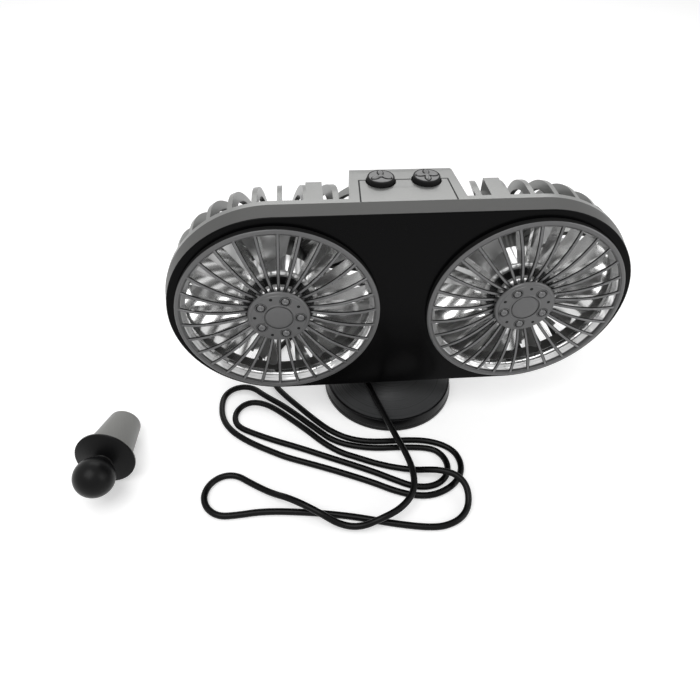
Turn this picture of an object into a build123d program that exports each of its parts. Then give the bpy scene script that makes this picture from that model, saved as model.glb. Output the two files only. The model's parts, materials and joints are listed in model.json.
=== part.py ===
"""Dual head car fan: two caged fans in one wide head, on a ball joint and a round base.

Millimetres. The origin is the centre of the base's underside, +X runs along the head,
-Y is the front that the air leaves by, and +Z is up. Depths are measured backwards
from the head's front plate, and radii from each fan's own axis.
"""

import os
from math import atan2, cos, degrees, pi, radians, sin, sqrt, tan

from build123d import *

os.makedirs("parts", exist_ok=True)

# Head: overall form
FAN_X = 57.0
HEAD_Z = 74.0
FRONT_Y = -22.0
HEAD_DEPTH = 45.0
PLATE_R = 49.6
SEAM_R = 51.0
SEAM_DEPTH = 8.0
STRIP_WIDTH = 3.0
FRAME_WALL = 1.8
PLATE_WALL = 2.0
PLATE_EDGE = 0.6
OVERRUN = 1.0
SEAM_GAP = 0.1
FIT_GAP = 0.05
RUNNING_GAP = 0.03
JOINT_GAP = 0.12

# Air duct and the bright ring in it
DUCT_R = 44.2
DUCT_WALL = 1.6
DUCT_END = 13.5
LEDGE_R = 47.6
LEDGE_END = 4.0
TRIM_INNER_R = 42.9
TRIM_FRONT = 3.2
TRIM_BACK = 6.4
TRIM_SLOPE = 0.9

# Wheel grille
GRILLE_R = 46.0
GRILLE_RIM = 2.6
GRILLE_PROUD = 3.0
GRILLE_SEAT = 2.4
GRILLE_EDGE = 0.5
BEVEL_FRONT = -1.0
BEVEL_DEPTH = 1.8
BEVEL_LIP = 0.5
SPOKE_COUNT = 30
SPOKE_WIDTH = 1.5
SPOKE_BACK = 4.4
SPOKE_HUB_BACK = 3.3
SPOKE_RIM_BACK = 2.2
SPOKE_FOOT_BACK = 0.9
SPOKE_FOOT_IN = 2.6
SPOKE_DEEP_R = 22.0
SPOKE_DEEP_SLOPE = 1.5
SPOKE_STEP_R = 42.3
SPOKE_BOW = 1.3
SPOKE_DIP = 3.0
SPOKE_BEND_R = 20.5
SPOKE_TOP_R = 32.0
SPOKE_START = 0.3
HUB_R = 14.2
HUB_LIP = 1.4
HUB_TAPER = 2.8
HUB_EDGE = 0.4
CAP_RING_R = 6.5
CAP_GROOVE = 0.5
LUG_COUNT = 5
LUG_R = 2.0
LUG_POCKET_R = 2.5
LUG_CIRCLE_R = 9.8
LUG_SINK = 0.7
DOT_R = 0.8
DOT_CIRCLE_R = 10.9

# Impeller
BLADE_COUNT = 7
BLADE_TIP_R = 41.8
BLADE_ROOT_R = 17.5
BLADE_TIP_CHORD = 30.0
BLADE_ROOT_CHORD = 13.0
BLADE_TIP_PITCH = 28.0
BLADE_ROOT_PITCH = 45.0
BLADE_TIP_CAMBER = 2.0
BLADE_ROOT_CAMBER = 1.6
BLADE_THICK = 1.2
BLADE_DEPTH = 13.6
IMPELLER_HUB_R = 19.0
IMPELLER_FRONT = 6.0
IMPELLER_BACK = 20.0
IMPELLER_WALL = 1.6
IMPELLER_EDGE = 1.2
IMPELLER_BOSS_R = 3.6
HUB_CAP_R = 12.2
HUB_CAP_THICK = 3.4
HUB_CAP_EDGE = 3.2

# Motor
SHAFT_R = 1.0
SHAFT_FRONT = 8.2
SHAFT_BACK = 38.2
MOTOR_R = 12.0
MOTOR_FRONT = 22.0
MOTOR_BACK = 38.0
MOTOR_WALL = 0.8
MOTOR_BOSS_R = 3.6
MOTOR_BOSS_LENGTH = 1.2
BUSH_R = 2.4
BUSH_LENGTH = 2.8
MOTOR_CAP_THICK = 1.6
ROTOR_R = 8.4
ROTOR_FRONT = 26.0
ROTOR_BACK = 33.0
WINDING_R = 6.8
WINDING_OVERHANG = 1.3
COMMUTATOR_R = 2.6
COMMUTATOR_LENGTH = 0.7
ROTOR_SLOT = 1.6
ROTOR_SLOT_COUNT = 3
MAGNET_INNER_R = 9.2
MAGNET_ARC = 140.0
MAGNET_OVERHANG = 1.0
TERMINAL_WIDTH = 2.0
TERMINAL_THICK = 0.4
TERMINAL_LENGTH = 1.8
TERMINAL_CIRCLE_R = 8.5
TERMINAL_RISE = 1.3

# Motor cup in the rear shell, and its cap
CUP_WALL = 1.9
CUP_FRONT = 26.0
CUP_SEAT_R = 10.4
CUP_SEAT = 3.0
CUP_FLANGE_R = 17.5
CUP_FLANGE = 3.0
REAR_CAP_THICK = 1.8
REAR_CAP_EDGE = 0.5
CHANNEL_WIDTH = 7.0
CHANNEL_WALL = 1.4
CHANNEL_FRONT = 38.2

# Rib cage of the rear shell
CAGE_R = 50.4
CAGE_WALL = 4.3
CAGE_BACK_WALL = 4.0
CAGE_ROUND = 27.0
RIB_COUNT = 30
RIB_THICK = 2.2
RIB_START = 4.0
RIB_REACH = 90.0

# Middle of the rear shell, with the button box on top
SPINE_HALF = 21.5
SPINE_CLEAR_R = 47.5
SPINE_WALL = 1.8
BOX_HALF_FRONT = 25.0
BOX_HALF_BACK = 22.2
BOX_HEIGHT = 14.0
BOX_TOP_WALL = 2.0
BOX_ROUND = 12.0
DECK_HALF_FRONT = 20.3
DECK_HALF_BACK = 19.5
DECK_BACK = 26.4
RAIL_WIDTH = 3.0
RAIL_HEIGHT = 1.6
RAIL_OVERLAP = 1.4
RAIL_SETBACK = 1.0

# Buttons and switches
BUTTON_X = 10.0
BUTTON_DEPTH = 25.6
BUTTON_R = 6.0
BUTTON_HOLE_R = 6.6
BUTTON_PROUD = 2.2
BUTTON_EDGE = 0.6
BUTTON_FLANGE_R = 7.3
BUTTON_FLANGE = 1.4
BUTTON_FLANGE_GAP = 0.4
BUTTON_STEM_R = 2.0
SIGN_HEIGHT = 0.35
SIGN_BLADE_LENGTH = 4.0
SIGN_BLADE_WIDTH = 2.1
SIGN_CIRCLE_R = 2.7
BOARD_HALF_X = 19.4
BOARD_FRONT = 11.0
BOARD_BACK = 40.0
BOARD_THICK = 1.6
BOARD_DROP = 16.0
SWITCH_SIZE = 6.2
SWITCH_HEIGHT = 3.5
PLUNGER_R = 1.6
PLUNGER_HOLE_R = 1.8
PLUNGER_HOLE = 1.6
PLUNGER_PROUD = 1.6
PLUNGER_LENGTH = 2.6
BOARD_POST_R = 2.0
BOARD_POST_FRONT = 13.5
BOARD_POST_FRONT_X = 17.3
BOARD_POST_BACK = 33.0
BOARD_POST_BACK_X = 17.3
BOARD_SCREW_R = 0.9
BOARD_SCREW_HEAD_R = 1.7
BOARD_SCREW_HEAD = 1.2
BOARD_SCREW_LENGTH = 7.0

# Screws that close the head
SCREW_R = 1.2
SCREW_HEAD_R = 1.9
SCREW_HEAD = 1.6
SCREW_LENGTH = 12.0
SCREW_GAP = 0.1
SCREW_LAND = 5.0
SCREW_CROSS = 0.6
SCREW_CROSS_LENGTH_SHARE = 1.2
SCREW_CROSS_DEPTH_SHARE = 0.45
BOSS_R = 2.6
CORNER_X = 39.0
CORNER_RISE = 46.4
CORNER_BLOCK_WIDTH = 7.0
CORNER_BLOCK_HEIGHT = 6.6
CORNER_BLOCK_BACK = 27.0
CORNER_HEAD_DEPTH = 16.0
MIDDLE_SCREW_X = 1.5
MIDDLE_BOSS_FRONT = 34.0
MIDDLE_HEAD_DEPTH = 38.0
MIDDLE_BOSS_R = 3.1

# Ball joint under the head
BALL_Z = 36.0
BALL_R = 9.4
LINER_WALL = 1.85
LINER_BELOW = 6.4
LINER_ABOVE = 8.6
SOCKET_R = 15.5
SOCKET_TOP = 10.0
RING_BOTTOM = 10.0
RING_LIP_DROP = 6.5
RING_MOUTH_R = 11.6
SOCKET_ARM_HALF = 11.0
SOCKET_ARM_HEIGHT = 8.0
SOCKET_ARM_BACK = 40.0
SOCKET_SCREW_X = 7.0
SOCKET_SCREW_LENGTH = 8.0
SOCKET_HEAD_DEPTH = 41.8
SOCKET_BOSS_R = 3.2
RING_SCREW_COUNT = 3
RING_SCREW_CIRCLE_R = 13.6
RING_SCREW_TURN = 30.0
RING_SCREW_REACH = 3.0
RING_SCREW_R = 0.8
RING_SCREW_HEAD_R = 1.4
RING_SCREW_HEAD = 1.0
RING_SCREW_LENGTH = 12.0
NECK_OPENING_R = 13.2

# Ball post
NECK_R = 5.0
NECK_FOOT_RISE = 2.2
SHOULDER_R = 8.0
SHOULDER_THICK = 0.9
SHANK_R = 7.0
SHANK_GAP = 0.06
POST_SCREW_R = 1.5
POST_SCREW_HEAD_R = 2.9
POST_SCREW_HEAD = 1.8
POST_SCREW_LENGTH = 7.5
WASHER_R = 9.5
WASHER_THICK = 1.1

# Base
BASE_R = 35.8
BASE_RIM_R = 34.6
BASE_RIM_Z = 7.7
BASE_FOOT_Z = 0.6
BASE_GROOVE_R = 33.8
BASE_GROOVE = 0.5
TRUMPET_MID_R = 22.0
TRUMPET_MID_Z = 10.9
BASE_TOP_R = 12.0
BASE_TOP_Z = 17.0
BASE_WALL = 2.2
BASE_BOSS_R = 10.0
BASE_BOSS_Z = 6.5
BASE_PLATE_R = 33.2
BASE_PLATE_THICK = 1.8
PAD_R = 33.0
PAD_THICK = 1.0
BASE_SCREW_COUNT = 3
BASE_SCREW_TURN = 30.0
BASE_SCREW_CIRCLE_R = 26.0
BASE_SCREW_BOSS_R = 3.0
BASE_SCREW_R = 1.1
BASE_SCREW_HEAD_R = 2.4
BASE_SCREW_HEAD = 1.0
BASE_SCREW_LENGTH = 6.0
BASE_SCREW_BOSS_HEIGHT = 6.0

# Loose ball stud
STUD_X = -145.1
STUD_Y = -65.5
STUD_TURN = 6.2
STUD_NECK_R = 4.6
STUD_FLARE_START = 9.6
STUD_FLANGE_AT = 12.6
STUD_FLANGE_THICK = 1.6
STUD_FLANGE_R = 14.3
STUD_SHOULDER_R = 12.4
STUD_TUBE_AT = 15.4
STUD_TUBE_R = 11.25
STUD_END_AT = 40.3
STUD_END_R = 8.1
STUD_BORE_R = 5.8
STUD_BORE_DEPTH = 18.0

# Lead: gland, cable inside the head, cord outside it, plug
CORD_R = 1.6
BEND_SHARE = 0.45
CORD_SAMPLES = 900
CORD_NEAR_STEPS = 14
GLAND_X = -14.6
GLAND_Y = -10.8
GLAND_R = 2.5
GLAND_FLANGE_R = 3.4
GLAND_FLANGE = 1.4
GLAND_INNER_FLANGE_R = 3.1
GLAND_INNER_FLANGE = 0.9
LEAD_R = 1.1
LEAD_WALL = 0.35
LEAD_UP_X = 6.2
LEAD_SLANT = 1.6
PLUG_LENGTH = 28.0
PLUG_WIDTH = 16.0
PLUG_HEIGHT = 8.4
PLUG_EDGE = 2.0
PLUG_RELIEF_LENGTH = 9.0
PLUG_RELIEF_R = 3.2
PLUG_RELIEF_END_R = 2.2
PLUG_SHELL_WIDTH = 12.0
PLUG_SHELL_HEIGHT = 4.5
PLUG_SHELL_LENGTH = 12.0
PLUG_SHELL_WALL = 0.4
PLUG_SHELL_HOLLOW = 8.0
PLUG_TONGUE = 1.9

SIDES = {"left": -1, "right": 1}
LUG_TURN = {"left": 20.0, "right": -33.0}
SPOKE_TURN = {"left": 3.0, "right": -3.0}
BLADE_TURN = {"left": -3.0, "right": 13.0}

HEAD_BACK_Y = FRONT_Y + HEAD_DEPTH
BOX_TOP_Z = HEAD_Z + SEAM_R
HEAD_BOTTOM_Z = HEAD_Z - SEAM_R
BOARD_Z = BOX_TOP_Z - BOARD_DROP
LINER_INNER_R = BALL_R + JOINT_GAP
LINER_OUTER_R = LINER_INNER_R + LINER_WALL
SOCKET_BORE_R = LINER_OUTER_R + JOINT_GAP
FROM_START = (Align.CENTER, Align.CENTER, Align.MIN)
FROM_END = (Align.CENTER, Align.CENTER, Align.MAX)


def behind(depth, x=0, rise=0):
    """Plane at a depth behind the front plate; its Z runs backwards and its Y upwards."""
    return Plane(origin=(x, FRONT_Y + depth, HEAD_Z + rise), x_dir=(-1, 0, 0), z_dir=(0, 1, 0))


def ahead(depth, x=0, rise=0):
    """Plane at a depth behind the front plate; its Z runs forwards."""
    return Plane(origin=(x, FRONT_Y + depth, HEAD_Z + rise), x_dir=(1, 0, 0), z_dir=(0, -1, 0))


def through_axis(x):
    """Plane through a fan's axis; its X is the radius and its Y the depth."""
    return Plane(origin=(x, FRONT_Y, HEAD_Z), x_dir=(1, 0, 0), z_dir=(0, 0, 1))


def fan_axis(x):
    """Turning axis of a fan."""
    return Axis((x, FRONT_Y, HEAD_Z), (0, 1, 0))


def clock(turn, count=1):
    """Start angle, in a plane from behind(), for something turned clockwise from the top."""
    return (90 + turn) % (360 / count)


def keep(part, name):
    """Label a finished piece and write its STEP file."""
    part.label = name
    export_step(part, f"parts/{name}.step")


def driven_screw(shank_r, length, head_r, head):
    """Cross-headed screw along +Z: shank from zero up to its length, head below zero."""
    with BuildPart() as screw:
        Cylinder(shank_r, length, align=FROM_START)
        Cylinder(head_r, head, align=FROM_END)
        with Locations((0, 0, -head)):
            for turn in (0, 90):
                Box(
                    head_r * SCREW_CROSS_LENGTH_SHARE,
                    SCREW_CROSS,
                    2 * head * SCREW_CROSS_DEPTH_SHARE,
                    rotation=(0, 0, turn),
                    mode=Mode.SUBTRACT,
                )
    return screw.part


def bend_radii(route):
    """Bend radius at each inner point of a route: as large as its two runs allow."""
    radii = []
    for before, corner, after in zip(route, route[1:], route[2:]):
        run_in = Vector(corner) - Vector(before)
        run_out = Vector(after) - Vector(corner)
        half_turn = radians(run_in.get_angle(run_out)) / 2
        radii.append(BEND_SHARE * min(run_in.length, run_out.length) / tan(half_turn))
    return radii


def report_cord(name, route, way, tube):
    """Print a cord's length, least bend radius, least gap to itself and volume check."""
    spots = [way.position_at(step / CORD_SAMPLES) for step in range(CORD_SAMPLES + 1)]
    near = [
        ((spots[i] - spots[j]).length, round(spots[i].X, 1), round(spots[i].Y, 1))
        for i in range(len(spots))
        for j in range(i + CORD_NEAR_STEPS, len(spots))
        if abs(spots[i].X - spots[j].X) < 4 * CORD_R and abs(spots[i].Y - spots[j].Y) < 4 * CORD_R
    ]
    gap, near_x, near_y = min(near) if near else (0, 0, 0)
    gap -= 2 * CORD_R
    fill = tube.volume / (pi * CORD_R**2 * way.length)
    lowest = min(spot.Z for spot in spots) - CORD_R
    print(f"{name}: length {way.length:.1f}, radii {[round(r, 1) for r in bend_radii(route)]}")
    print(f"{name}: least gap {gap:.2f} at {near_x}, {near_y}, volume share {fill:.4f}, lowest {lowest:.2f}")


# Front frame: plate, rim and duct mouths
FRAME_TAPER = degrees(atan2(SEAM_R - PLATE_R, SEAM_DEPTH))
CORNER_SPOTS = [(x, rise) for x in (-CORNER_X, CORNER_X) for rise in (-CORNER_RISE, CORNER_RISE)]

with BuildPart() as front_frame:
    with BuildSketch(Plane.XZ.offset(-FRONT_Y - SEAM_DEPTH)):
        with Locations((0, HEAD_Z)):
            SlotCenterToCenter(2 * FAN_X, 2 * SEAM_R)
    extrude(amount=SEAM_DEPTH, taper=FRAME_TAPER)
    fillet(front_frame.faces().sort_by(Axis.Y)[0].edges(), PLATE_EDGE)
    with BuildSketch(Plane.XZ.offset(-FRONT_Y - SEAM_DEPTH)):
        with Locations((0, HEAD_Z)):
            SlotCenterToCenter(2 * FAN_X, 2 * (SEAM_R - FRAME_WALL))
    extrude(amount=SEAM_DEPTH - PLATE_WALL, taper=FRAME_TAPER, mode=Mode.SUBTRACT)
    for sign in SIDES.values():
        with Locations(behind(PLATE_WALL / 2, sign * FAN_X)):
            Cylinder(LEDGE_R, LEDGE_END - PLATE_WALL / 2, align=FROM_START)
        with Locations(behind(LEDGE_END / 2, sign * FAN_X)):
            Cylinder(DUCT_R + DUCT_WALL, DUCT_END - LEDGE_END / 2, align=FROM_START)
        with Locations(behind(-OVERRUN, sign * FAN_X)):
            Cylinder(DUCT_R, DUCT_END + 2 * OVERRUN, align=FROM_START, mode=Mode.SUBTRACT)
            Cylinder(
                GRILLE_R + SEAM_GAP,
                GRILLE_SEAT + SEAM_GAP / 2 + OVERRUN,
                align=FROM_START,
                mode=Mode.SUBTRACT,
            )
    for corner_x, corner_rise in CORNER_SPOTS:
        with Locations(behind(PLATE_WALL / 2, corner_x, corner_rise)):
            Cylinder(
                BOSS_R,
                SEAM_DEPTH + STRIP_WIDTH - PLATE_WALL / 2,
                align=FROM_START,
            )
        with Locations(behind(CORNER_HEAD_DEPTH - SCREW_LENGTH, corner_x, corner_rise)):
            Cylinder(SCREW_R, SCREW_LENGTH, align=FROM_START, mode=Mode.SUBTRACT)
    with Locations(behind(PLATE_WALL / 2, MIDDLE_SCREW_X)):
        Cylinder(BOSS_R, MIDDLE_BOSS_FRONT - PLATE_WALL / 2, align=FROM_START)
    with Locations(behind(MIDDLE_HEAD_DEPTH - SCREW_LENGTH, MIDDLE_SCREW_X)):
        Cylinder(SCREW_R, SCREW_LENGTH, align=FROM_START, mode=Mode.SUBTRACT)
keep(front_frame.part, "front_frame")

# One grille spoke: a bowed bar along +X, with depth along +Z, that dips behind the hub's face
SPOKE_FACE = -GRILLE_PROUD
SPOKE_OUTER_R = GRILLE_R - GRILLE_RIM / 2
SPOKE_INNER_R = HUB_R - SPOKE_FOOT_IN
with BuildPart() as spoke:
    with BuildSketch(Plane.XZ):
        with BuildLine():
            outer_front = (SPOKE_OUTER_R, SPOKE_FACE + SPOKE_START)
            top_front = (SPOKE_TOP_R, SPOKE_FACE - SPOKE_BOW)
            bend_front = (SPOKE_BEND_R, SPOKE_FACE + SPOKE_START)
            inner_front = (SPOKE_INNER_R, SPOKE_FACE + SPOKE_DIP)
            ThreePointArc(outer_front, top_front, bend_front)
            Polyline(
                bend_front,
                inner_front,
                (SPOKE_INNER_R, SPOKE_FOOT_BACK),
                (SPOKE_DEEP_R - SPOKE_DEEP_SLOPE, SPOKE_HUB_BACK),
                (SPOKE_DEEP_R, SPOKE_BACK),
                (SPOKE_STEP_R, SPOKE_BACK),
                (SPOKE_STEP_R, SPOKE_RIM_BACK),
                (SPOKE_OUTER_R, SPOKE_RIM_BACK),
                outer_front,
            )
        make_face()
    extrude(amount=SPOKE_WIDTH / 2, both=True)

# One impeller blade, standing along +X with depth along +Z
with BuildPart() as blade:
    for radius, chord, pitch, camber in (
        (BLADE_ROOT_R, BLADE_ROOT_CHORD, BLADE_ROOT_PITCH, BLADE_ROOT_CAMBER),
        (BLADE_TIP_R + OVERRUN, BLADE_TIP_CHORD, BLADE_TIP_PITCH, BLADE_TIP_CAMBER),
    ):
        chord_way = (0, cos(radians(pitch)), sin(radians(pitch)))
        with BuildSketch(Plane(origin=(radius, 0, BLADE_DEPTH), x_dir=chord_way, z_dir=(1, 0, 0))):
            with BuildLine():
                lower_ends = ((-chord / 2, 0), (chord / 2, 0))
                upper_ends = ((chord / 2, BLADE_THICK), (-chord / 2, BLADE_THICK))
                ThreePointArc(lower_ends[0], (0, camber), lower_ends[1])
                Line(lower_ends[1], upper_ends[0])
                ThreePointArc(upper_ends[0], (0, camber + BLADE_THICK), upper_ends[1])
                Line(upper_ends[1], lower_ends[0])
            make_face()
    loft(ruled=True)
    Cylinder(BLADE_TIP_R, 2 * HEAD_DEPTH, mode=Mode.INTERSECT)

for side, sign in SIDES.items():
    fan_x = sign * FAN_X

    with BuildPart() as grille:
        with Locations(behind(-GRILLE_PROUD, fan_x)):
            Cylinder(GRILLE_R, GRILLE_PROUD + GRILLE_SEAT, align=FROM_START)
            Cylinder(
                GRILLE_R - GRILLE_RIM,
                GRILLE_PROUD + GRILLE_SEAT,
                align=FROM_START,
                mode=Mode.SUBTRACT,
            )
        fillet(grille.faces().sort_by(Axis.Y)[0].edges(), GRILLE_EDGE)
        with BuildSketch(through_axis(fan_x)):
            with BuildLine():
                Polyline(
                    (GRILLE_R - GRILLE_RIM + GRILLE_EDGE, BEVEL_FRONT),
                    (GRILLE_R - GRILLE_RIM, BEVEL_FRONT),
                    (GRILLE_R - GRILLE_RIM - BEVEL_DEPTH, BEVEL_FRONT + BEVEL_DEPTH),
                    (GRILLE_R - GRILLE_RIM - BEVEL_DEPTH, BEVEL_FRONT + BEVEL_DEPTH + BEVEL_LIP),
                    (GRILLE_R - GRILLE_RIM + GRILLE_EDGE, BEVEL_FRONT + BEVEL_DEPTH + BEVEL_LIP),
                    close=True,
                )
            make_face()
        revolve(axis=fan_axis(fan_x))
        with Locations(behind(-GRILLE_PROUD, fan_x)):
            Cylinder(HUB_R, HUB_LIP, align=FROM_START)
        with Locations(behind(HUB_LIP - GRILLE_PROUD, fan_x)):
            Cone(HUB_R, HUB_R - HUB_TAPER, HUB_TAPER, align=FROM_START)
        with Locations(behind(0, fan_x)):
            with PolarLocations(0, SPOKE_COUNT, start_angle=clock(SPOKE_TURN[side], SPOKE_COUNT)):
                add(spoke.part)
        with Locations(behind(-GRILLE_PROUD, fan_x)):
            Cylinder(CAP_RING_R, 2 * CAP_GROOVE, mode=Mode.SUBTRACT)
            Cylinder(CAP_RING_R - CAP_GROOVE, CAP_GROOVE, align=FROM_START)
            with PolarLocations(LUG_CIRCLE_R, LUG_COUNT, start_angle=clock(LUG_TURN[side])):
                Cylinder(LUG_POCKET_R, 2 * LUG_SINK, mode=Mode.SUBTRACT)
                Cylinder(LUG_R, LUG_SINK, align=FROM_START)
            half_lug = 180 / LUG_COUNT
            with PolarLocations(DOT_CIRCLE_R, LUG_COUNT, start_angle=clock(LUG_TURN[side] + half_lug)):
                Cylinder(DOT_R, LUG_SINK, mode=Mode.SUBTRACT)
    keep(grille.part, f"grille_{side}")

    with BuildPart() as duct_ring:
        with BuildSketch(through_axis(fan_x)):
            with BuildLine():
                Polyline(
                    (DUCT_R - FIT_GAP, TRIM_FRONT),
                    (DUCT_R - FIT_GAP, TRIM_BACK),
                    (TRIM_INNER_R, TRIM_BACK),
                    (TRIM_INNER_R, TRIM_FRONT + TRIM_SLOPE),
                    (TRIM_INNER_R + TRIM_SLOPE, TRIM_FRONT),
                    close=True,
                )
            make_face()
        revolve(axis=fan_axis(fan_x))
    keep(duct_ring.part, f"duct_ring_{side}")

    with BuildPart() as impeller:
        with Locations(behind(IMPELLER_FRONT, fan_x)):
            Cylinder(IMPELLER_HUB_R, IMPELLER_BACK - IMPELLER_FRONT, align=FROM_START)
        fillet(impeller.faces().sort_by(Axis.Y)[0].edges(), IMPELLER_EDGE)
        with Locations(behind(0, fan_x)):
            with PolarLocations(0, BLADE_COUNT, start_angle=clock(BLADE_TURN[side], BLADE_COUNT)):
                add(blade.part)
        with Locations(behind(IMPELLER_FRONT + IMPELLER_WALL, fan_x)):
            Cylinder(
                IMPELLER_HUB_R - IMPELLER_WALL,
                HEAD_DEPTH,
                align=FROM_START,
                mode=Mode.SUBTRACT,
            )
        with Locations(behind(IMPELLER_FRONT + IMPELLER_WALL / 2, fan_x)):
            Cylinder(
                IMPELLER_BOSS_R,
                IMPELLER_BACK - IMPELLER_FRONT - IMPELLER_WALL / 2,
                align=FROM_START,
            )
        with Locations(behind(SHAFT_FRONT, fan_x)):
            Cylinder(SHAFT_R, HEAD_DEPTH, align=FROM_START, mode=Mode.SUBTRACT)
    keep(impeller.part, f"impeller_{side}")

    with BuildPart() as hub_cap:
        with Locations(behind(IMPELLER_FRONT, fan_x)):
            Cylinder(HUB_CAP_R, HUB_CAP_THICK, align=FROM_END)
        fillet(hub_cap.faces().sort_by(Axis.Y)[0].edges(), HUB_CAP_EDGE)
    keep(hub_cap.part, f"hub_cap_{side}")

    with BuildPart() as motor_shaft:
        with Locations(behind(SHAFT_FRONT, fan_x)):
            Cylinder(SHAFT_R, SHAFT_BACK - SHAFT_FRONT, align=FROM_START)
    keep(motor_shaft.part, f"motor_shaft_{side}")

    with BuildPart() as motor_rotor:
        with Locations(behind(ROTOR_FRONT, fan_x)):
            Cylinder(ROTOR_R, ROTOR_BACK - ROTOR_FRONT, align=FROM_START)
            with PolarLocations(ROTOR_R, ROTOR_SLOT_COUNT):
                Box(
                    ROTOR_R - WINDING_R + ROTOR_SLOT,
                    ROTOR_SLOT,
                    ROTOR_BACK - ROTOR_FRONT,
                    align=FROM_START,
                    mode=Mode.SUBTRACT,
                )
        with Locations(behind(ROTOR_FRONT - WINDING_OVERHANG, fan_x)):
            Cylinder(
                WINDING_R,
                ROTOR_BACK - ROTOR_FRONT + 2 * WINDING_OVERHANG,
                align=FROM_START,
            )
        with Locations(behind(ROTOR_BACK, fan_x)):
            Cylinder(COMMUTATOR_R, WINDING_OVERHANG + COMMUTATOR_LENGTH, align=FROM_START)
        with Locations(behind(ROTOR_FRONT - WINDING_OVERHANG, fan_x)):
            Cylinder(SHAFT_R, HEAD_DEPTH, align=FROM_START, mode=Mode.SUBTRACT)
    keep(motor_rotor.part, f"motor_rotor_{side}")

    with BuildPart() as motor_can:
        with Locations(behind(MOTOR_FRONT, fan_x)):
            Cylinder(MOTOR_R, MOTOR_BACK - MOTOR_FRONT, align=FROM_START)
            Cylinder(MOTOR_BOSS_R, MOTOR_BOSS_LENGTH, align=FROM_END)
        with Locations(behind(MOTOR_FRONT + MOTOR_WALL, fan_x)):
            Cylinder(
                MOTOR_R - MOTOR_WALL,
                MOTOR_BACK - MOTOR_FRONT,
                align=FROM_START,
                mode=Mode.SUBTRACT,
            )
        with Locations(behind(MOTOR_FRONT, fan_x)):
            Cylinder(BUSH_R, HEAD_DEPTH, mode=Mode.SUBTRACT)
    keep(motor_can.part, f"motor_can_{side}")

    with BuildPart() as motor_cap:
        with Locations(behind(MOTOR_BACK, fan_x)):
            Cylinder(MOTOR_R - MOTOR_WALL, MOTOR_CAP_THICK, align=FROM_END)
            Cylinder(MOTOR_BOSS_R, BUSH_LENGTH, align=FROM_END)
            with Locations(*[(sign * TERMINAL_CIRCLE_R, turn * TERMINAL_RISE) for turn in (-1, 1)]):
                Box(TERMINAL_WIDTH, TERMINAL_THICK, TERMINAL_LENGTH, align=FROM_START)
            Cylinder(BUSH_R, 2 * HEAD_DEPTH, mode=Mode.SUBTRACT)
    keep(motor_cap.part, f"motor_cap_{side}")

    with BuildPart() as motor_bushes:
        with Locations(behind(MOTOR_FRONT - MOTOR_BOSS_LENGTH, fan_x)):
            Cylinder(BUSH_R, BUSH_LENGTH, align=FROM_START)
        with Locations(behind(MOTOR_BACK, fan_x)):
            Cylinder(BUSH_R, BUSH_LENGTH, align=FROM_END)
            Cylinder(SHAFT_R + RUNNING_GAP, 2 * HEAD_DEPTH, mode=Mode.SUBTRACT)
    keep(motor_bushes.part, f"motor_bushes_{side}")

    with BuildPart() as motor_magnets:
        with Locations(behind(ROTOR_FRONT - MAGNET_OVERHANG, fan_x)):
            with PolarLocations(0, 2, start_angle=(180 - MAGNET_ARC) / 2):
                Cylinder(
                    MOTOR_R - MOTOR_WALL,
                    ROTOR_BACK - ROTOR_FRONT + 2 * MAGNET_OVERHANG,
                    arc_size=MAGNET_ARC,
                    align=(Align.NONE, Align.NONE, Align.MIN),
                )
            Cylinder(MAGNET_INNER_R, 2 * HEAD_DEPTH, mode=Mode.SUBTRACT)
    keep(motor_magnets.part, f"motor_magnets_{side}")

    with BuildPart() as rear_cap:
        with Locations(behind(HEAD_DEPTH, fan_x)):
            Cylinder(MOTOR_R, REAR_CAP_THICK, align=FROM_END)
        fillet(rear_cap.faces().sort_by(Axis.Y)[-1].edges(), REAR_CAP_EDGE)
    keep(rear_cap.part, f"rear_cap_{side}")

# Rear shell: rib cages, strip along the seam, middle housing and motor cups
CUP_INNER_R = MOTOR_R + FIT_GAP
CUP_OUTER_R = CUP_INNER_R + CUP_WALL
CAGE_FRONT = SEAM_DEPTH + STRIP_WIDTH
SPINE_BACK = HEAD_DEPTH - SPINE_WALL
BOX_INSIDE_TOP_Z = BOX_TOP_Z - BOX_TOP_WALL
BOARD_TOP_Z = BOARD_Z + BOARD_THICK
RAIL_TOP = BOX_INSIDE_TOP_Z
SOCKET_ARM_TOP_Z = BALL_Z + SOCKET_TOP
SOCKET_SCREW_Z = SOCKET_ARM_TOP_Z - SOCKET_ARM_HEIGHT / 2
BOARD_POSTS = [
    (sign * post_x, depth)
    for sign in SIDES.values()
    for post_x, depth in ((BOARD_POST_FRONT_X, BOARD_POST_FRONT), (BOARD_POST_BACK_X, BOARD_POST_BACK))
]
CHANNEL_SPAN = SPINE_CLEAR_R + SPINE_WALL / 2 - CUP_INNER_R

with BuildPart() as right_fins:
    with Locations(behind(CAGE_FRONT, FAN_X)):
        with PolarLocations(
            (CUP_INNER_R + CUP_OUTER_R) / 2, RIB_COUNT, start_angle=clock(-RIB_START, RIB_COUNT)
        ):
            Box(RIB_REACH, RIB_THICK, HEAD_DEPTH, align=(Align.MIN, Align.CENTER, Align.MIN))
    split(bisect_by=Plane.YZ, keep=Keep.TOP)

with BuildPart() as cage_hollow:
    with BuildSketch(Plane.XZ.offset(-FRONT_Y - CAGE_FRONT)):
        with Locations((0, HEAD_Z)):
            SlotCenterToCenter(2 * FAN_X, 2 * (CAGE_R - CAGE_WALL))
    extrude(amount=-(HEAD_DEPTH - CAGE_BACK_WALL - CAGE_FRONT))
    fillet(cage_hollow.faces().sort_by(Axis.Y)[-1].edges(), CAGE_ROUND - CAGE_WALL)

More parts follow.
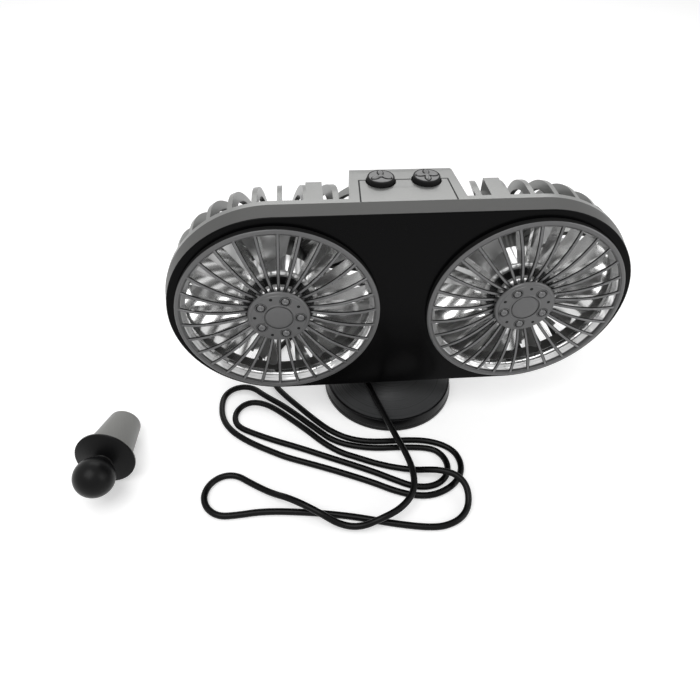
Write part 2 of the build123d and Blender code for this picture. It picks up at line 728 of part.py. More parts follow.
with BuildPart() as rib_cage:
    with BuildSketch(Plane.XZ.offset(-FRONT_Y - CAGE_FRONT)):
        with Locations((0, HEAD_Z)):
            SlotCenterToCenter(2 * FAN_X, 2 * CAGE_R)
    extrude(amount=-(HEAD_DEPTH - CAGE_FRONT))
    fillet(rib_cage.faces().sort_by(Axis.Y)[-1].edges(), CAGE_ROUND)
    add(cage_hollow.part, mode=Mode.SUBTRACT)
    split(bisect_by=Plane.YZ, keep=Keep.TOP)
    add(right_fins.part, mode=Mode.INTERSECT)
    mirror(about=Plane.YZ)

with BuildPart() as spine_hollow:
    with BuildSketch(Plane.XZ.offset(-FRONT_Y - SEAM_DEPTH + OVERRUN)):
        with Locations((0, HEAD_BOTTOM_Z + SPINE_WALL)):
            Rectangle(
                2 * (SPINE_HALF - SPINE_WALL),
                2 * SEAM_R - SPINE_WALL - BOX_TOP_WALL,
                align=(Align.CENTER, Align.MIN),
            )
        with Locations((-FAN_X, HEAD_Z), (FAN_X, HEAD_Z)):
            Circle(SPINE_CLEAR_R + SPINE_WALL, mode=Mode.SUBTRACT)
    extrude(amount=-(SPINE_BACK - SEAM_DEPTH + OVERRUN))
    with BuildSketch(Plane.XY.offset(BOX_TOP_Z - BOX_HEIGHT + SPINE_WALL)):
        with BuildLine():
            Polyline(
                (-BOX_HALF_FRONT + SPINE_WALL, FRONT_Y + SEAM_DEPTH - OVERRUN),
                (BOX_HALF_FRONT - SPINE_WALL, FRONT_Y + SEAM_DEPTH - OVERRUN),
                (BOX_HALF_BACK - SPINE_WALL, FRONT_Y + SPINE_BACK),
                (-BOX_HALF_BACK + SPINE_WALL, FRONT_Y + SPINE_BACK),
                close=True,
            )
        make_face()
    extrude(amount=BOX_HEIGHT - SPINE_WALL - BOX_TOP_WALL)
    fillet(
        spine_hollow.edges()
        .filter_by(Axis.X)
        .filter_by_position(Axis.Y, FRONT_Y + SPINE_BACK - FIT_GAP, FRONT_Y + SPINE_BACK + FIT_GAP)
        .filter_by_position(Axis.Z, BOX_INSIDE_TOP_Z - FIT_GAP, BOX_INSIDE_TOP_Z + FIT_GAP),
        BOX_ROUND - BOX_TOP_WALL,
    )

with BuildPart() as rear_shell:
    with BuildSketch(Plane.XZ.offset(-FRONT_Y - CAGE_FRONT)):
        with Locations((0, HEAD_Z)):
            SlotCenterToCenter(2 * FAN_X, 2 * SEAM_R)
            SlotCenterToCenter(2 * FAN_X, 2 * (SEAM_R - FRAME_WALL), mode=Mode.SUBTRACT)
    extrude(amount=STRIP_WIDTH)
    add(rib_cage.part)
    for corner_x, corner_rise in CORNER_SPOTS:
        outward = 1 if corner_rise > 0 else -1
        with Locations(behind(CAGE_FRONT, corner_x, outward * CAGE_R)):
            Box(
                CORNER_BLOCK_WIDTH,
                CORNER_BLOCK_HEIGHT,
                CORNER_BLOCK_BACK - CAGE_FRONT,
                align=(Align.CENTER, Align.MAX if outward > 0 else Align.MIN, Align.MIN),
            )
    for sign in SIDES.values():
        with Locations(behind(HEAD_DEPTH, sign * FAN_X)):
            Cylinder(CUP_OUTER_R, HEAD_DEPTH - CUP_FRONT, align=FROM_END)
            Cylinder(CUP_FLANGE_R, CUP_FLANGE, align=FROM_END)
        with Locations(behind(CHANNEL_FRONT, sign * (FAN_X - CUP_INNER_R - CHANNEL_SPAN / 2))):
            Box(CHANNEL_SPAN, CHANNEL_WIDTH, HEAD_DEPTH - CHANNEL_FRONT, align=FROM_START)
    with BuildSketch(Plane.XZ.offset(-FRONT_Y - SEAM_DEPTH)):
        with Locations((0, HEAD_BOTTOM_Z)):
            Rectangle(2 * SPINE_HALF, 2 * SEAM_R, align=(Align.CENTER, Align.MIN))
        with Locations((-FAN_X, HEAD_Z), (FAN_X, HEAD_Z)):
            Circle(SPINE_CLEAR_R, mode=Mode.SUBTRACT)
    extrude(amount=-(HEAD_DEPTH - SEAM_DEPTH))
    with BuildSketch(Plane.XY.offset(BOX_TOP_Z - BOX_HEIGHT)):
        with BuildLine():
            Polyline(
                (-BOX_HALF_FRONT, FRONT_Y + SEAM_DEPTH),
                (BOX_HALF_FRONT, FRONT_Y + SEAM_DEPTH),
                (BOX_HALF_BACK, HEAD_BACK_Y),
                (-BOX_HALF_BACK, HEAD_BACK_Y),
                close=True,
            )
        make_face()
    extrude(amount=BOX_HEIGHT)
    fillet(
        rear_shell.edges()
        .filter_by(Axis.X)
        .filter_by_position(Axis.Y, HEAD_BACK_Y - FIT_GAP, HEAD_BACK_Y + FIT_GAP)
        .filter_by_position(Axis.Z, BOX_TOP_Z - FIT_GAP, BOX_TOP_Z + FIT_GAP),
        BOX_ROUND,
    )
    add(spine_hollow.part, mode=Mode.SUBTRACT)
    for sign in SIDES.values():
        groove_start = CUP_SEAT_R - OVERRUN
        groove_span = SPINE_CLEAR_R + SPINE_WALL + OVERRUN - groove_start
        with Locations(behind(CHANNEL_FRONT, sign * (FAN_X - groove_start - groove_span / 2))):
            Box(
                groove_span,
                CHANNEL_WIDTH - 2 * CHANNEL_WALL,
                HEAD_DEPTH - CHANNEL_WALL - CHANNEL_FRONT,
                align=FROM_START,
                mode=Mode.SUBTRACT,
            )
        with Locations(behind(0, sign * FAN_X)):
            Cylinder(CUP_INNER_R, MOTOR_BACK, align=FROM_START, mode=Mode.SUBTRACT)
            Cylinder(CUP_SEAT_R, HEAD_DEPTH + OVERRUN, align=FROM_START, mode=Mode.SUBTRACT)
        with Locations(behind(HEAD_DEPTH + OVERRUN, sign * FAN_X)):
            Cylinder(
                CUP_INNER_R,
                HEAD_DEPTH + OVERRUN - MOTOR_BACK - CUP_SEAT,
                align=FROM_END,
                mode=Mode.SUBTRACT,
            )
        rail_x = sign * (DECK_HALF_BACK - RAIL_OVERLAP + RAIL_WIDTH / 2)
        with Locations((rail_x, FRONT_Y + SEAM_DEPTH + RAIL_SETBACK, RAIL_TOP)):
            Box(
                RAIL_WIDTH,
                DECK_BACK - SEAM_DEPTH,
                RAIL_HEIGHT,
                align=(Align.CENTER, Align.MIN, Align.MAX),
            )
    for post_x, depth in BOARD_POSTS:
        with Locations((post_x, FRONT_Y + depth, BOX_INSIDE_TOP_Z)):
            Cylinder(BOARD_POST_R, BOX_INSIDE_TOP_Z - BOARD_TOP_Z, align=FROM_END)
        with Locations((post_x, FRONT_Y + depth, BOARD_Z)):
            Cylinder(
                BOARD_SCREW_R, BOARD_SCREW_LENGTH, align=FROM_START, mode=Mode.SUBTRACT
            )
    with Locations(behind(SPINE_BACK + SPINE_WALL / 2, MIDDLE_SCREW_X)):
        Cylinder(MIDDLE_BOSS_R, SPINE_BACK + SPINE_WALL / 2 - MIDDLE_BOSS_FRONT, align=FROM_END)
    for sign in SIDES.values():
        with Locations(
            behind(SPINE_BACK + SPINE_WALL / 2, sign * SOCKET_SCREW_X, SOCKET_SCREW_Z - HEAD_Z)
        ):
            Cylinder(
                SOCKET_BOSS_R, SPINE_BACK + SPINE_WALL / 2 - SOCKET_ARM_BACK, align=FROM_END
            )
    screw_spots = [(x, rise, CORNER_HEAD_DEPTH) for x, rise in CORNER_SPOTS]
    screw_spots += [(MIDDLE_SCREW_X, 0, MIDDLE_HEAD_DEPTH)]
    screw_spots += [
        (sign * SOCKET_SCREW_X, SOCKET_SCREW_Z - HEAD_Z, SOCKET_HEAD_DEPTH)
        for sign in SIDES.values()
    ]
    for screw_x, rise, head_depth in screw_spots:
        with Locations(behind(head_depth, screw_x, rise)):
            Cylinder(SCREW_HEAD_R + 2 * SCREW_GAP, HEAD_DEPTH, align=FROM_START, mode=Mode.SUBTRACT)
            Cylinder(SCREW_R + SCREW_GAP, SCREW_LAND, align=FROM_END, mode=Mode.SUBTRACT)
    with Locations((0, 0, HEAD_BOTTOM_Z)):
        Cylinder(NECK_OPENING_R, 2 * (SPINE_WALL + SEAM_GAP), mode=Mode.SUBTRACT)
    with Locations((GLAND_X, GLAND_Y, HEAD_BOTTOM_Z)):
        Cylinder(GLAND_R + FIT_GAP, 2 * (SPINE_WALL + SEAM_GAP), mode=Mode.SUBTRACT)
    with BuildSketch(Plane.XY.offset(BOX_INSIDE_TOP_Z)):
        with BuildLine():
            Polyline(
                (-DECK_HALF_FRONT, FRONT_Y + SEAM_DEPTH - OVERRUN),
                (DECK_HALF_FRONT, FRONT_Y + SEAM_DEPTH - OVERRUN),
                (DECK_HALF_BACK, FRONT_Y + DECK_BACK),
                (-DECK_HALF_BACK, FRONT_Y + DECK_BACK),
                close=True,
            )
        make_face()
    extrude(amount=BOX_TOP_WALL + OVERRUN, mode=Mode.SUBTRACT)
    with Locations(*[(sign * BUTTON_X, FRONT_Y + BUTTON_DEPTH, BOX_TOP_Z) for sign in SIDES.values()]):
        Cylinder(BUTTON_HOLE_R, 2 * (BOX_TOP_WALL + SEAM_GAP), mode=Mode.SUBTRACT)
keep(rear_shell.part, "rear_shell")

with BuildPart() as button_deck:
    with BuildSketch(Plane.XY.offset(BOX_INSIDE_TOP_Z)):
        with BuildLine():
            Polyline(
                (-DECK_HALF_FRONT + SEAM_GAP, FRONT_Y + SEAM_DEPTH + SEAM_GAP),
                (DECK_HALF_FRONT - SEAM_GAP, FRONT_Y + SEAM_DEPTH + SEAM_GAP),
                (DECK_HALF_BACK - SEAM_GAP, FRONT_Y + DECK_BACK - SEAM_GAP),
                (-DECK_HALF_BACK + SEAM_GAP, FRONT_Y + DECK_BACK - SEAM_GAP),
                close=True,
            )
        make_face()
    extrude(amount=BOX_TOP_WALL)
    with Locations(*[(sign * BUTTON_X, FRONT_Y + BUTTON_DEPTH, BOX_TOP_Z) for sign in SIDES.values()]):
        Cylinder(BUTTON_HOLE_R, 2 * (BOX_TOP_WALL + SEAM_GAP), mode=Mode.SUBTRACT)
keep(button_deck.part, "button_deck")

# Buttons: left wears a three-bladed sign and right a four-bladed one
FLANGE_TOP_Z = BOX_INSIDE_TOP_Z - BUTTON_FLANGE_GAP
BUTTON_FOOT_Z = BOARD_TOP_Z + SWITCH_HEIGHT + PLUNGER_PROUD
SIGN_BLADES = {"left": 3, "right": 4}
for side, sign in SIDES.items():
    button_spot = (sign * BUTTON_X, FRONT_Y + BUTTON_DEPTH)
    with BuildPart() as button:
        with Locations((*button_spot, BOX_TOP_Z + BUTTON_PROUD)):
            Cylinder(
                BUTTON_R, BOX_TOP_Z + BUTTON_PROUD - FLANGE_TOP_Z + BUTTON_FLANGE, align=FROM_END
            )
        fillet(button.faces().sort_by(Axis.Z)[-1].edges(), BUTTON_EDGE)
        with Locations((*button_spot, FLANGE_TOP_Z)):
            Cylinder(BUTTON_FLANGE_R, BUTTON_FLANGE, align=FROM_END)
            Cylinder(BUTTON_STEM_R, FLANGE_TOP_Z - BUTTON_FOOT_Z, align=FROM_END)
        with BuildSketch(Plane.XY.offset(BOX_TOP_Z + BUTTON_PROUD)):
            with Locations(button_spot):
                with PolarLocations(SIGN_CIRCLE_R, SIGN_BLADES[side], start_angle=90):
                    Ellipse(SIGN_BLADE_LENGTH / 2, SIGN_BLADE_WIDTH / 2)
                Circle(SIGN_BLADE_WIDTH / 2)
        extrude(amount=SIGN_HEIGHT)
    keep(button.part, f"button_{side}")

    with BuildPart() as plunger:
        with Locations((*button_spot, BUTTON_FOOT_Z)):
            Cylinder(PLUNGER_R, PLUNGER_LENGTH, align=FROM_END)
    keep(plunger.part, f"switch_plunger_{side}")

with BuildPart() as switch_bodies:
    with Locations(*[(sign * BUTTON_X, FRONT_Y + BUTTON_DEPTH, BOARD_TOP_Z) for sign in SIDES.values()]):
        Box(SWITCH_SIZE, SWITCH_SIZE, SWITCH_HEIGHT, align=FROM_START)
    with Locations(
        *[
            (sign * BUTTON_X, FRONT_Y + BUTTON_DEPTH, BOARD_TOP_Z + SWITCH_HEIGHT)
            for sign in SIDES.values()
        ]
    ):
        Cylinder(PLUNGER_HOLE_R, 2 * PLUNGER_HOLE, mode=Mode.SUBTRACT)
keep(switch_bodies.part, "switch_bodies")

with BuildPart() as switch_board:
    with Locations((0, FRONT_Y + (BOARD_FRONT + BOARD_BACK) / 2, BOARD_Z)):
        Box(2 * BOARD_HALF_X, BOARD_BACK - BOARD_FRONT, BOARD_THICK, align=FROM_START)
    with Locations(*[(x, FRONT_Y + depth, BOARD_Z) for x, depth in BOARD_POSTS]):
        Cylinder(BOARD_SCREW_R + SCREW_GAP, 2 * BOARD_THICK + OVERRUN, mode=Mode.SUBTRACT)
keep(switch_board.part, "switch_board")

small_screw = driven_screw(BOARD_SCREW_R, BOARD_SCREW_LENGTH, BOARD_SCREW_HEAD_R, BOARD_SCREW_HEAD)
with BuildPart() as board_screws:
    with Locations(*[(x, FRONT_Y + depth, BOARD_Z) for x, depth in BOARD_POSTS]):
        add(small_screw)
keep(board_screws.part, "board_screws")

case_screw = driven_screw(SCREW_R, SCREW_LENGTH, SCREW_HEAD_R, SCREW_HEAD)
with BuildPart() as shell_screws:
    with Locations(
        *[ahead(CORNER_HEAD_DEPTH, x, rise) for x, rise in CORNER_SPOTS],
        ahead(MIDDLE_HEAD_DEPTH, MIDDLE_SCREW_X),
    ):
        add(case_screw)
keep(shell_screws.part, "shell_screws")

# Ball joint: post and its ball, liner, socket and clamping ring
SHOULDER_Z = BASE_TOP_Z + RUNNING_GAP
NECK_TOP_Z = BALL_Z - sqrt(BALL_R**2 - NECK_R**2)
with BuildPart() as ball_post:
    with BuildSketch(Plane.XZ):
        with BuildLine():
            Polyline(
                (0, BASE_BOSS_Z),
                (SHANK_R, BASE_BOSS_Z),
                (SHANK_R, SHOULDER_Z),
                (SHOULDER_R, SHOULDER_Z),
                (SHOULDER_R, SHOULDER_Z + SHOULDER_THICK),
                (NECK_R, SHOULDER_Z + SHOULDER_THICK + NECK_FOOT_RISE),
                (NECK_R, NECK_TOP_Z),
                (0, NECK_TOP_Z),
                close=True,
            )
        make_face()
    revolve(axis=Axis.Z)
    with Locations((0, 0, BALL_Z)):
        Sphere(BALL_R)
    with Locations((0, 0, BASE_BOSS_Z)):
        Cylinder(POST_SCREW_R, 2 * (POST_SCREW_LENGTH - WASHER_THICK), mode=Mode.SUBTRACT)
keep(ball_post.part, "ball_post")

with BuildPart() as post_washer:
    with Locations((0, 0, BASE_BOSS_Z)):
        Cylinder(WASHER_R, WASHER_THICK, align=FROM_END)
        Cylinder(POST_SCREW_R, 2 * WASHER_THICK + OVERRUN, mode=Mode.SUBTRACT)
keep(post_washer.part, "post_washer")

washer_screw = driven_screw(POST_SCREW_R, POST_SCREW_LENGTH, POST_SCREW_HEAD_R, POST_SCREW_HEAD)
with BuildPart() as post_screw:
    with Locations((0, 0, BASE_BOSS_Z - WASHER_THICK)):
        add(washer_screw)
keep(post_screw.part, "post_screw")

with BuildPart() as ball_liner:
    with Locations((0, 0, BALL_Z)):
        Sphere(LINER_OUTER_R)
        Sphere(LINER_INNER_R, mode=Mode.SUBTRACT)
    with Locations((0, 0, BALL_Z - LINER_BELOW)):
        Cylinder(
            LINER_OUTER_R + OVERRUN,
            LINER_BELOW + LINER_ABOVE,
            align=FROM_START,
            mode=Mode.INTERSECT,
        )
keep(ball_liner.part, "ball_liner")

with BuildPart() as ball_socket:
    with Locations((0, 0, BALL_Z + FIT_GAP)):
        Cylinder(SOCKET_R, SOCKET_TOP - FIT_GAP, align=FROM_START)
    with Locations((0, 0, SOCKET_ARM_TOP_Z)):
        Box(
            2 * SOCKET_ARM_HALF,
            FRONT_Y + SOCKET_ARM_BACK,
            SOCKET_ARM_HEIGHT,
            align=(Align.CENTER, Align.MIN, Align.MAX),
        )
    with Locations((0, 0, BALL_Z)):
        Sphere(SOCKET_BORE_R, mode=Mode.SUBTRACT)
        with PolarLocations(RING_SCREW_CIRCLE_R, RING_SCREW_COUNT, start_angle=RING_SCREW_TURN):
            Cylinder(RING_SCREW_R, 2 * RING_SCREW_REACH, mode=Mode.SUBTRACT)
    for sign in SIDES.values():
        with Locations(behind(SOCKET_ARM_BACK, sign * SOCKET_SCREW_X, SOCKET_SCREW_Z - HEAD_Z)):
            Cylinder(
                SCREW_R,
                2 * (SOCKET_SCREW_LENGTH - SOCKET_HEAD_DEPTH + SOCKET_ARM_BACK),
                mode=Mode.SUBTRACT,
            )
keep(ball_socket.part, "ball_socket")

RING_LIP_R = sqrt(SOCKET_BORE_R**2 - RING_LIP_DROP**2)
RING_SCREW_START_Z = BALL_Z + RING_SCREW_REACH - RING_SCREW_LENGTH
with BuildPart() as socket_ring:
    with Locations((0, 0, BALL_Z - FIT_GAP)):
        Cylinder(SOCKET_R, RING_BOTTOM - FIT_GAP, align=FROM_END)
    with Locations((0, 0, BALL_Z)):
        Sphere(SOCKET_BORE_R, mode=Mode.SUBTRACT)
    with Locations((0, 0, BALL_Z - RING_LIP_DROP)):
        Cone(
            RING_MOUTH_R,
            RING_LIP_R,
            RING_BOTTOM - RING_LIP_DROP,
            align=FROM_END,
            mode=Mode.SUBTRACT,
        )
    with Locations((0, 0, RING_SCREW_START_Z)):
        with PolarLocations(RING_SCREW_CIRCLE_R, RING_SCREW_COUNT, start_angle=RING_SCREW_TURN):
            Cylinder(RING_SCREW_R, RING_SCREW_LENGTH, align=FROM_START, mode=Mode.SUBTRACT)
            Cylinder(
                RING_SCREW_HEAD_R + SCREW_GAP, RING_BOTTOM, align=FROM_END, mode=Mode.SUBTRACT
            )
keep(socket_ring.part, "socket_ring")

clamp_screw = driven_screw(RING_SCREW_R, RING_SCREW_LENGTH, RING_SCREW_HEAD_R, RING_SCREW_HEAD)
with BuildPart() as ring_screws:
    with Locations((0, 0, RING_SCREW_START_Z)):
        with PolarLocations(RING_SCREW_CIRCLE_R, RING_SCREW_COUNT, start_angle=RING_SCREW_TURN):
            add(clamp_screw)
keep(ring_screws.part, "ring_screws")

arm_screw = driven_screw(SCREW_R, SOCKET_SCREW_LENGTH, SCREW_HEAD_R, SCREW_HEAD)
with BuildPart() as socket_screws:
    with Locations(
        *[
            ahead(SOCKET_HEAD_DEPTH, sign * SOCKET_SCREW_X, SOCKET_SCREW_Z - HEAD_Z)
            for sign in SIDES.values()
        ]
    ):
        add(arm_screw)
keep(socket_screws.part, "socket_screws")

# Base: trumpet-shaped top on a rim, closed below by a plate and a soft pad
RIM_INNER_R = BASE_RIM_R - BASE_WALL
PLATE_BOTTOM_Z = PAD_THICK
PLATE_TOP_Z = PAD_THICK + BASE_PLATE_THICK
with BuildPart() as base_shell:
    with BuildSketch(Plane.XZ):
        with BuildLine():
            Line((SHANK_R + SHANK_GAP, BASE_TOP_Z), (BASE_TOP_R, BASE_TOP_Z))
            trumpet = ThreePointArc(
                (BASE_TOP_R, BASE_TOP_Z),
                (TRUMPET_MID_R, TRUMPET_MID_Z),
                (BASE_GROOVE_R, BASE_RIM_Z + BASE_GROOVE),
            )
            Polyline(
                (BASE_GROOVE_R, BASE_RIM_Z + BASE_GROOVE),
                (BASE_GROOVE_R, BASE_RIM_Z),
                (BASE_RIM_R, BASE_RIM_Z),
                (BASE_R, BASE_FOOT_Z),
                (RIM_INNER_R + BASE_WALL / 2, BASE_FOOT_Z),
                (RIM_INNER_R + BASE_WALL / 2, PLATE_TOP_Z),
                (RIM_INNER_R, PLATE_TOP_Z),
                (RIM_INNER_R, BASE_RIM_Z - BASE_WALL / 2),
            )
            ThreePointArc(
                (RIM_INNER_R, BASE_RIM_Z - BASE_WALL / 2),
                (TRUMPET_MID_R, TRUMPET_MID_Z - BASE_WALL),
                (BASE_TOP_R, BASE_TOP_Z - BASE_WALL),
            )
            Polyline(
                (BASE_TOP_R, BASE_TOP_Z - BASE_WALL),
                (BASE_BOSS_R, BASE_TOP_Z - BASE_WALL),
                (BASE_BOSS_R, BASE_BOSS_Z),
                (SHANK_R + SHANK_GAP, BASE_BOSS_Z),
                (SHANK_R + SHANK_GAP, BASE_TOP_Z),
            )
        make_face()
    revolve(axis=Axis.Z)
    with Locations((0, 0, PLATE_TOP_Z)):
        with PolarLocations(BASE_SCREW_CIRCLE_R, BASE_SCREW_COUNT, start_angle=BASE_SCREW_TURN):
            Cylinder(BASE_SCREW_BOSS_R, BASE_SCREW_BOSS_HEIGHT, align=FROM_START)
            Cylinder(
                BASE_SCREW_R,
                2 * (BASE_SCREW_LENGTH + PLATE_BOTTOM_Z + BASE_SCREW_HEAD - PLATE_TOP_Z),
                mode=Mode.SUBTRACT,
            )
keep(base_shell.part, "base_shell")

with BuildPart() as base_plate:
    with Locations((0, 0, PLATE_BOTTOM_Z)):
        Cylinder(BASE_PLATE_R, BASE_PLATE_THICK, align=FROM_START)
        with PolarLocations(BASE_SCREW_CIRCLE_R, BASE_SCREW_COUNT, start_angle=BASE_SCREW_TURN):
            Cylinder(BASE_SCREW_R + SCREW_GAP, 2 * HEAD_DEPTH, mode=Mode.SUBTRACT)
            Cylinder(BASE_SCREW_HEAD_R + SCREW_GAP, 2 * BASE_SCREW_HEAD, mode=Mode.SUBTRACT)
keep(base_plate.part, "base_plate")

with BuildPart() as base_pad:
    Cylinder(PAD_R, PAD_THICK, align=FROM_START)
keep(base_pad.part, "base_pad")

foot_screw = driven_screw(BASE_SCREW_R, BASE_SCREW_LENGTH, BASE_SCREW_HEAD_R, BASE_SCREW_HEAD)
with BuildPart() as base_screws:
    with Locations((0, 0, PLATE_BOTTOM_Z + BASE_SCREW_HEAD)):
        with PolarLocations(BASE_SCREW_CIRCLE_R, BASE_SCREW_COUNT, start_angle=BASE_SCREW_TURN):
            add(foot_screw)
keep(base_screws.part, "base_screws")

# Loose ball stud: it rests on its flange and on the far edge of its tapered tube
STUD_FLANGE_END = STUD_FLANGE_AT + STUD_FLANGE_THICK
STUD_DIP = atan2(STUD_FLANGE_R - STUD_END_R, STUD_END_AT - STUD_FLANGE_END)
STUD_Z = STUD_FLANGE_END * sin(STUD_DIP) + STUD_FLANGE_R * cos(STUD_DIP)
STUD_HEADING = radians(STUD_TURN)
STUD_WAY = (
    sin(STUD_HEADING) * cos(STUD_DIP),
    cos(STUD_HEADING) * cos(STUD_DIP),
    -sin(STUD_DIP),
)
STUD_ACROSS = (cos(STUD_HEADING), -sin(STUD_HEADING), 0)
with BuildPart() as spare_ball_stud:
    with BuildSketch(Plane(origin=(STUD_X, STUD_Y, STUD_Z), x_dir=STUD_WAY, z_dir=STUD_ACROSS)):
        with BuildLine():
            Polyline(
                (0, 0),
                (0, STUD_NECK_R),
                (STUD_FLARE_START, STUD_NECK_R),
                (STUD_FLANGE_AT, STUD_FLANGE_R),
                (STUD_FLANGE_END, STUD_FLANGE_R),
                (STUD_FLANGE_END, STUD_SHOULDER_R),
                (STUD_TUBE_AT, STUD_TUBE_R),
                (STUD_END_AT, STUD_END_R),
                (STUD_END_AT, STUD_BORE_R),
                (STUD_END_AT - STUD_BORE_DEPTH, STUD_BORE_R),
                (STUD_END_AT - STUD_BORE_DEPTH, 0),
                close=True,
            )
        make_face()
    revolve(axis=Axis((STUD_X, STUD_Y, STUD_Z), STUD_WAY))
    with Locations((STUD_X, STUD_Y, STUD_Z)):
        Sphere(BALL_R)
keep(spare_ball_stud.part, "spare_ball_stud")

# Gland and cables
with BuildPart() as cord_gland:
    with Locations((GLAND_X, GLAND_Y, HEAD_BOTTOM_Z)):
        Cylinder(GLAND_FLANGE_R, GLAND_FLANGE, align=FROM_END)
        Cylinder(GLAND_R, SPINE_WALL, align=FROM_START)
    with Locations((GLAND_X, GLAND_Y, HEAD_BOTTOM_Z + SPINE_WALL)):
        Cylinder(GLAND_INNER_FLANGE_R, GLAND_INNER_FLANGE, align=FROM_START)
keep(cord_gland.part, "cord_gland")

GLAND_BOTTOM = (GLAND_X, GLAND_Y, HEAD_BOTTOM_Z - GLAND_FLANGE)
GLAND_TOP = (GLAND_X, GLAND_Y, HEAD_BOTTOM_Z + SPINE_WALL + GLAND_INNER_FLANGE)
INNER_ROUTE = [
    GLAND_TOP,
    (GLAND_X, GLAND_Y, 32.6),
    (-11.2, -15.2, 43.5),
    (-5.2, -13.6, 58.0),
    (-4.4, -11.0, 82.0),
    (-6.4, -6.6, 98.0),
    (-6.4, -6.6, BOARD_Z),
]
with BuildPart() as inner_cable:
    with BuildLine():
        inner_way = FilletPolyline(*INNER_ROUTE, radius=bend_radii(INNER_ROUTE))
    with BuildSketch(Plane(origin=inner_way @ 0, z_dir=inner_way % 0)):
        Circle(CORD_R)
    sweep(path=inner_way)
keep(inner_cable.part, "inner_cable")

for side, sign in SIDES.items():
    tab_x = sign * (FAN_X - TERMINAL_CIRCLE_R)
    lead_y = FRONT_Y + MOTOR_BACK + TERMINAL_LENGTH + LEAD_R + LEAD_WALL
    lead_route = [
        (tab_x, lead_y, HEAD_Z),
        (sign * (LEAD_UP_X + LEAD_SLANT), lead_y, HEAD_Z),
        (sign * LEAD_UP_X, lead_y, HEAD_Z + LEAD_SLANT),
        (sign * LEAD_UP_X, lead_y, BOARD_Z),
    ]
    with BuildPart() as motor_lead:
        with BuildLine():
            lead_way = FilletPolyline(*lead_route, radius=bend_radii(lead_route))
        with BuildSketch(Plane(origin=lead_way @ 0, z_dir=lead_way % 0)):
            Circle(LEAD_R)
        sweep(path=lead_way)
        with Locations((tab_x, FRONT_Y + MOTOR_BACK + TERMINAL_LENGTH, HEAD_Z)):
            Box(
                TERMINAL_WIDTH,
                2 * (LEAD_R + LEAD_WALL),
                2 * (TERMINAL_RISE + TERMINAL_THICK),
                align=(Align.CENTER, Align.MIN, Align.CENTER),
            )
    keep(motor_lead.part, f"motor_lead_{side}")

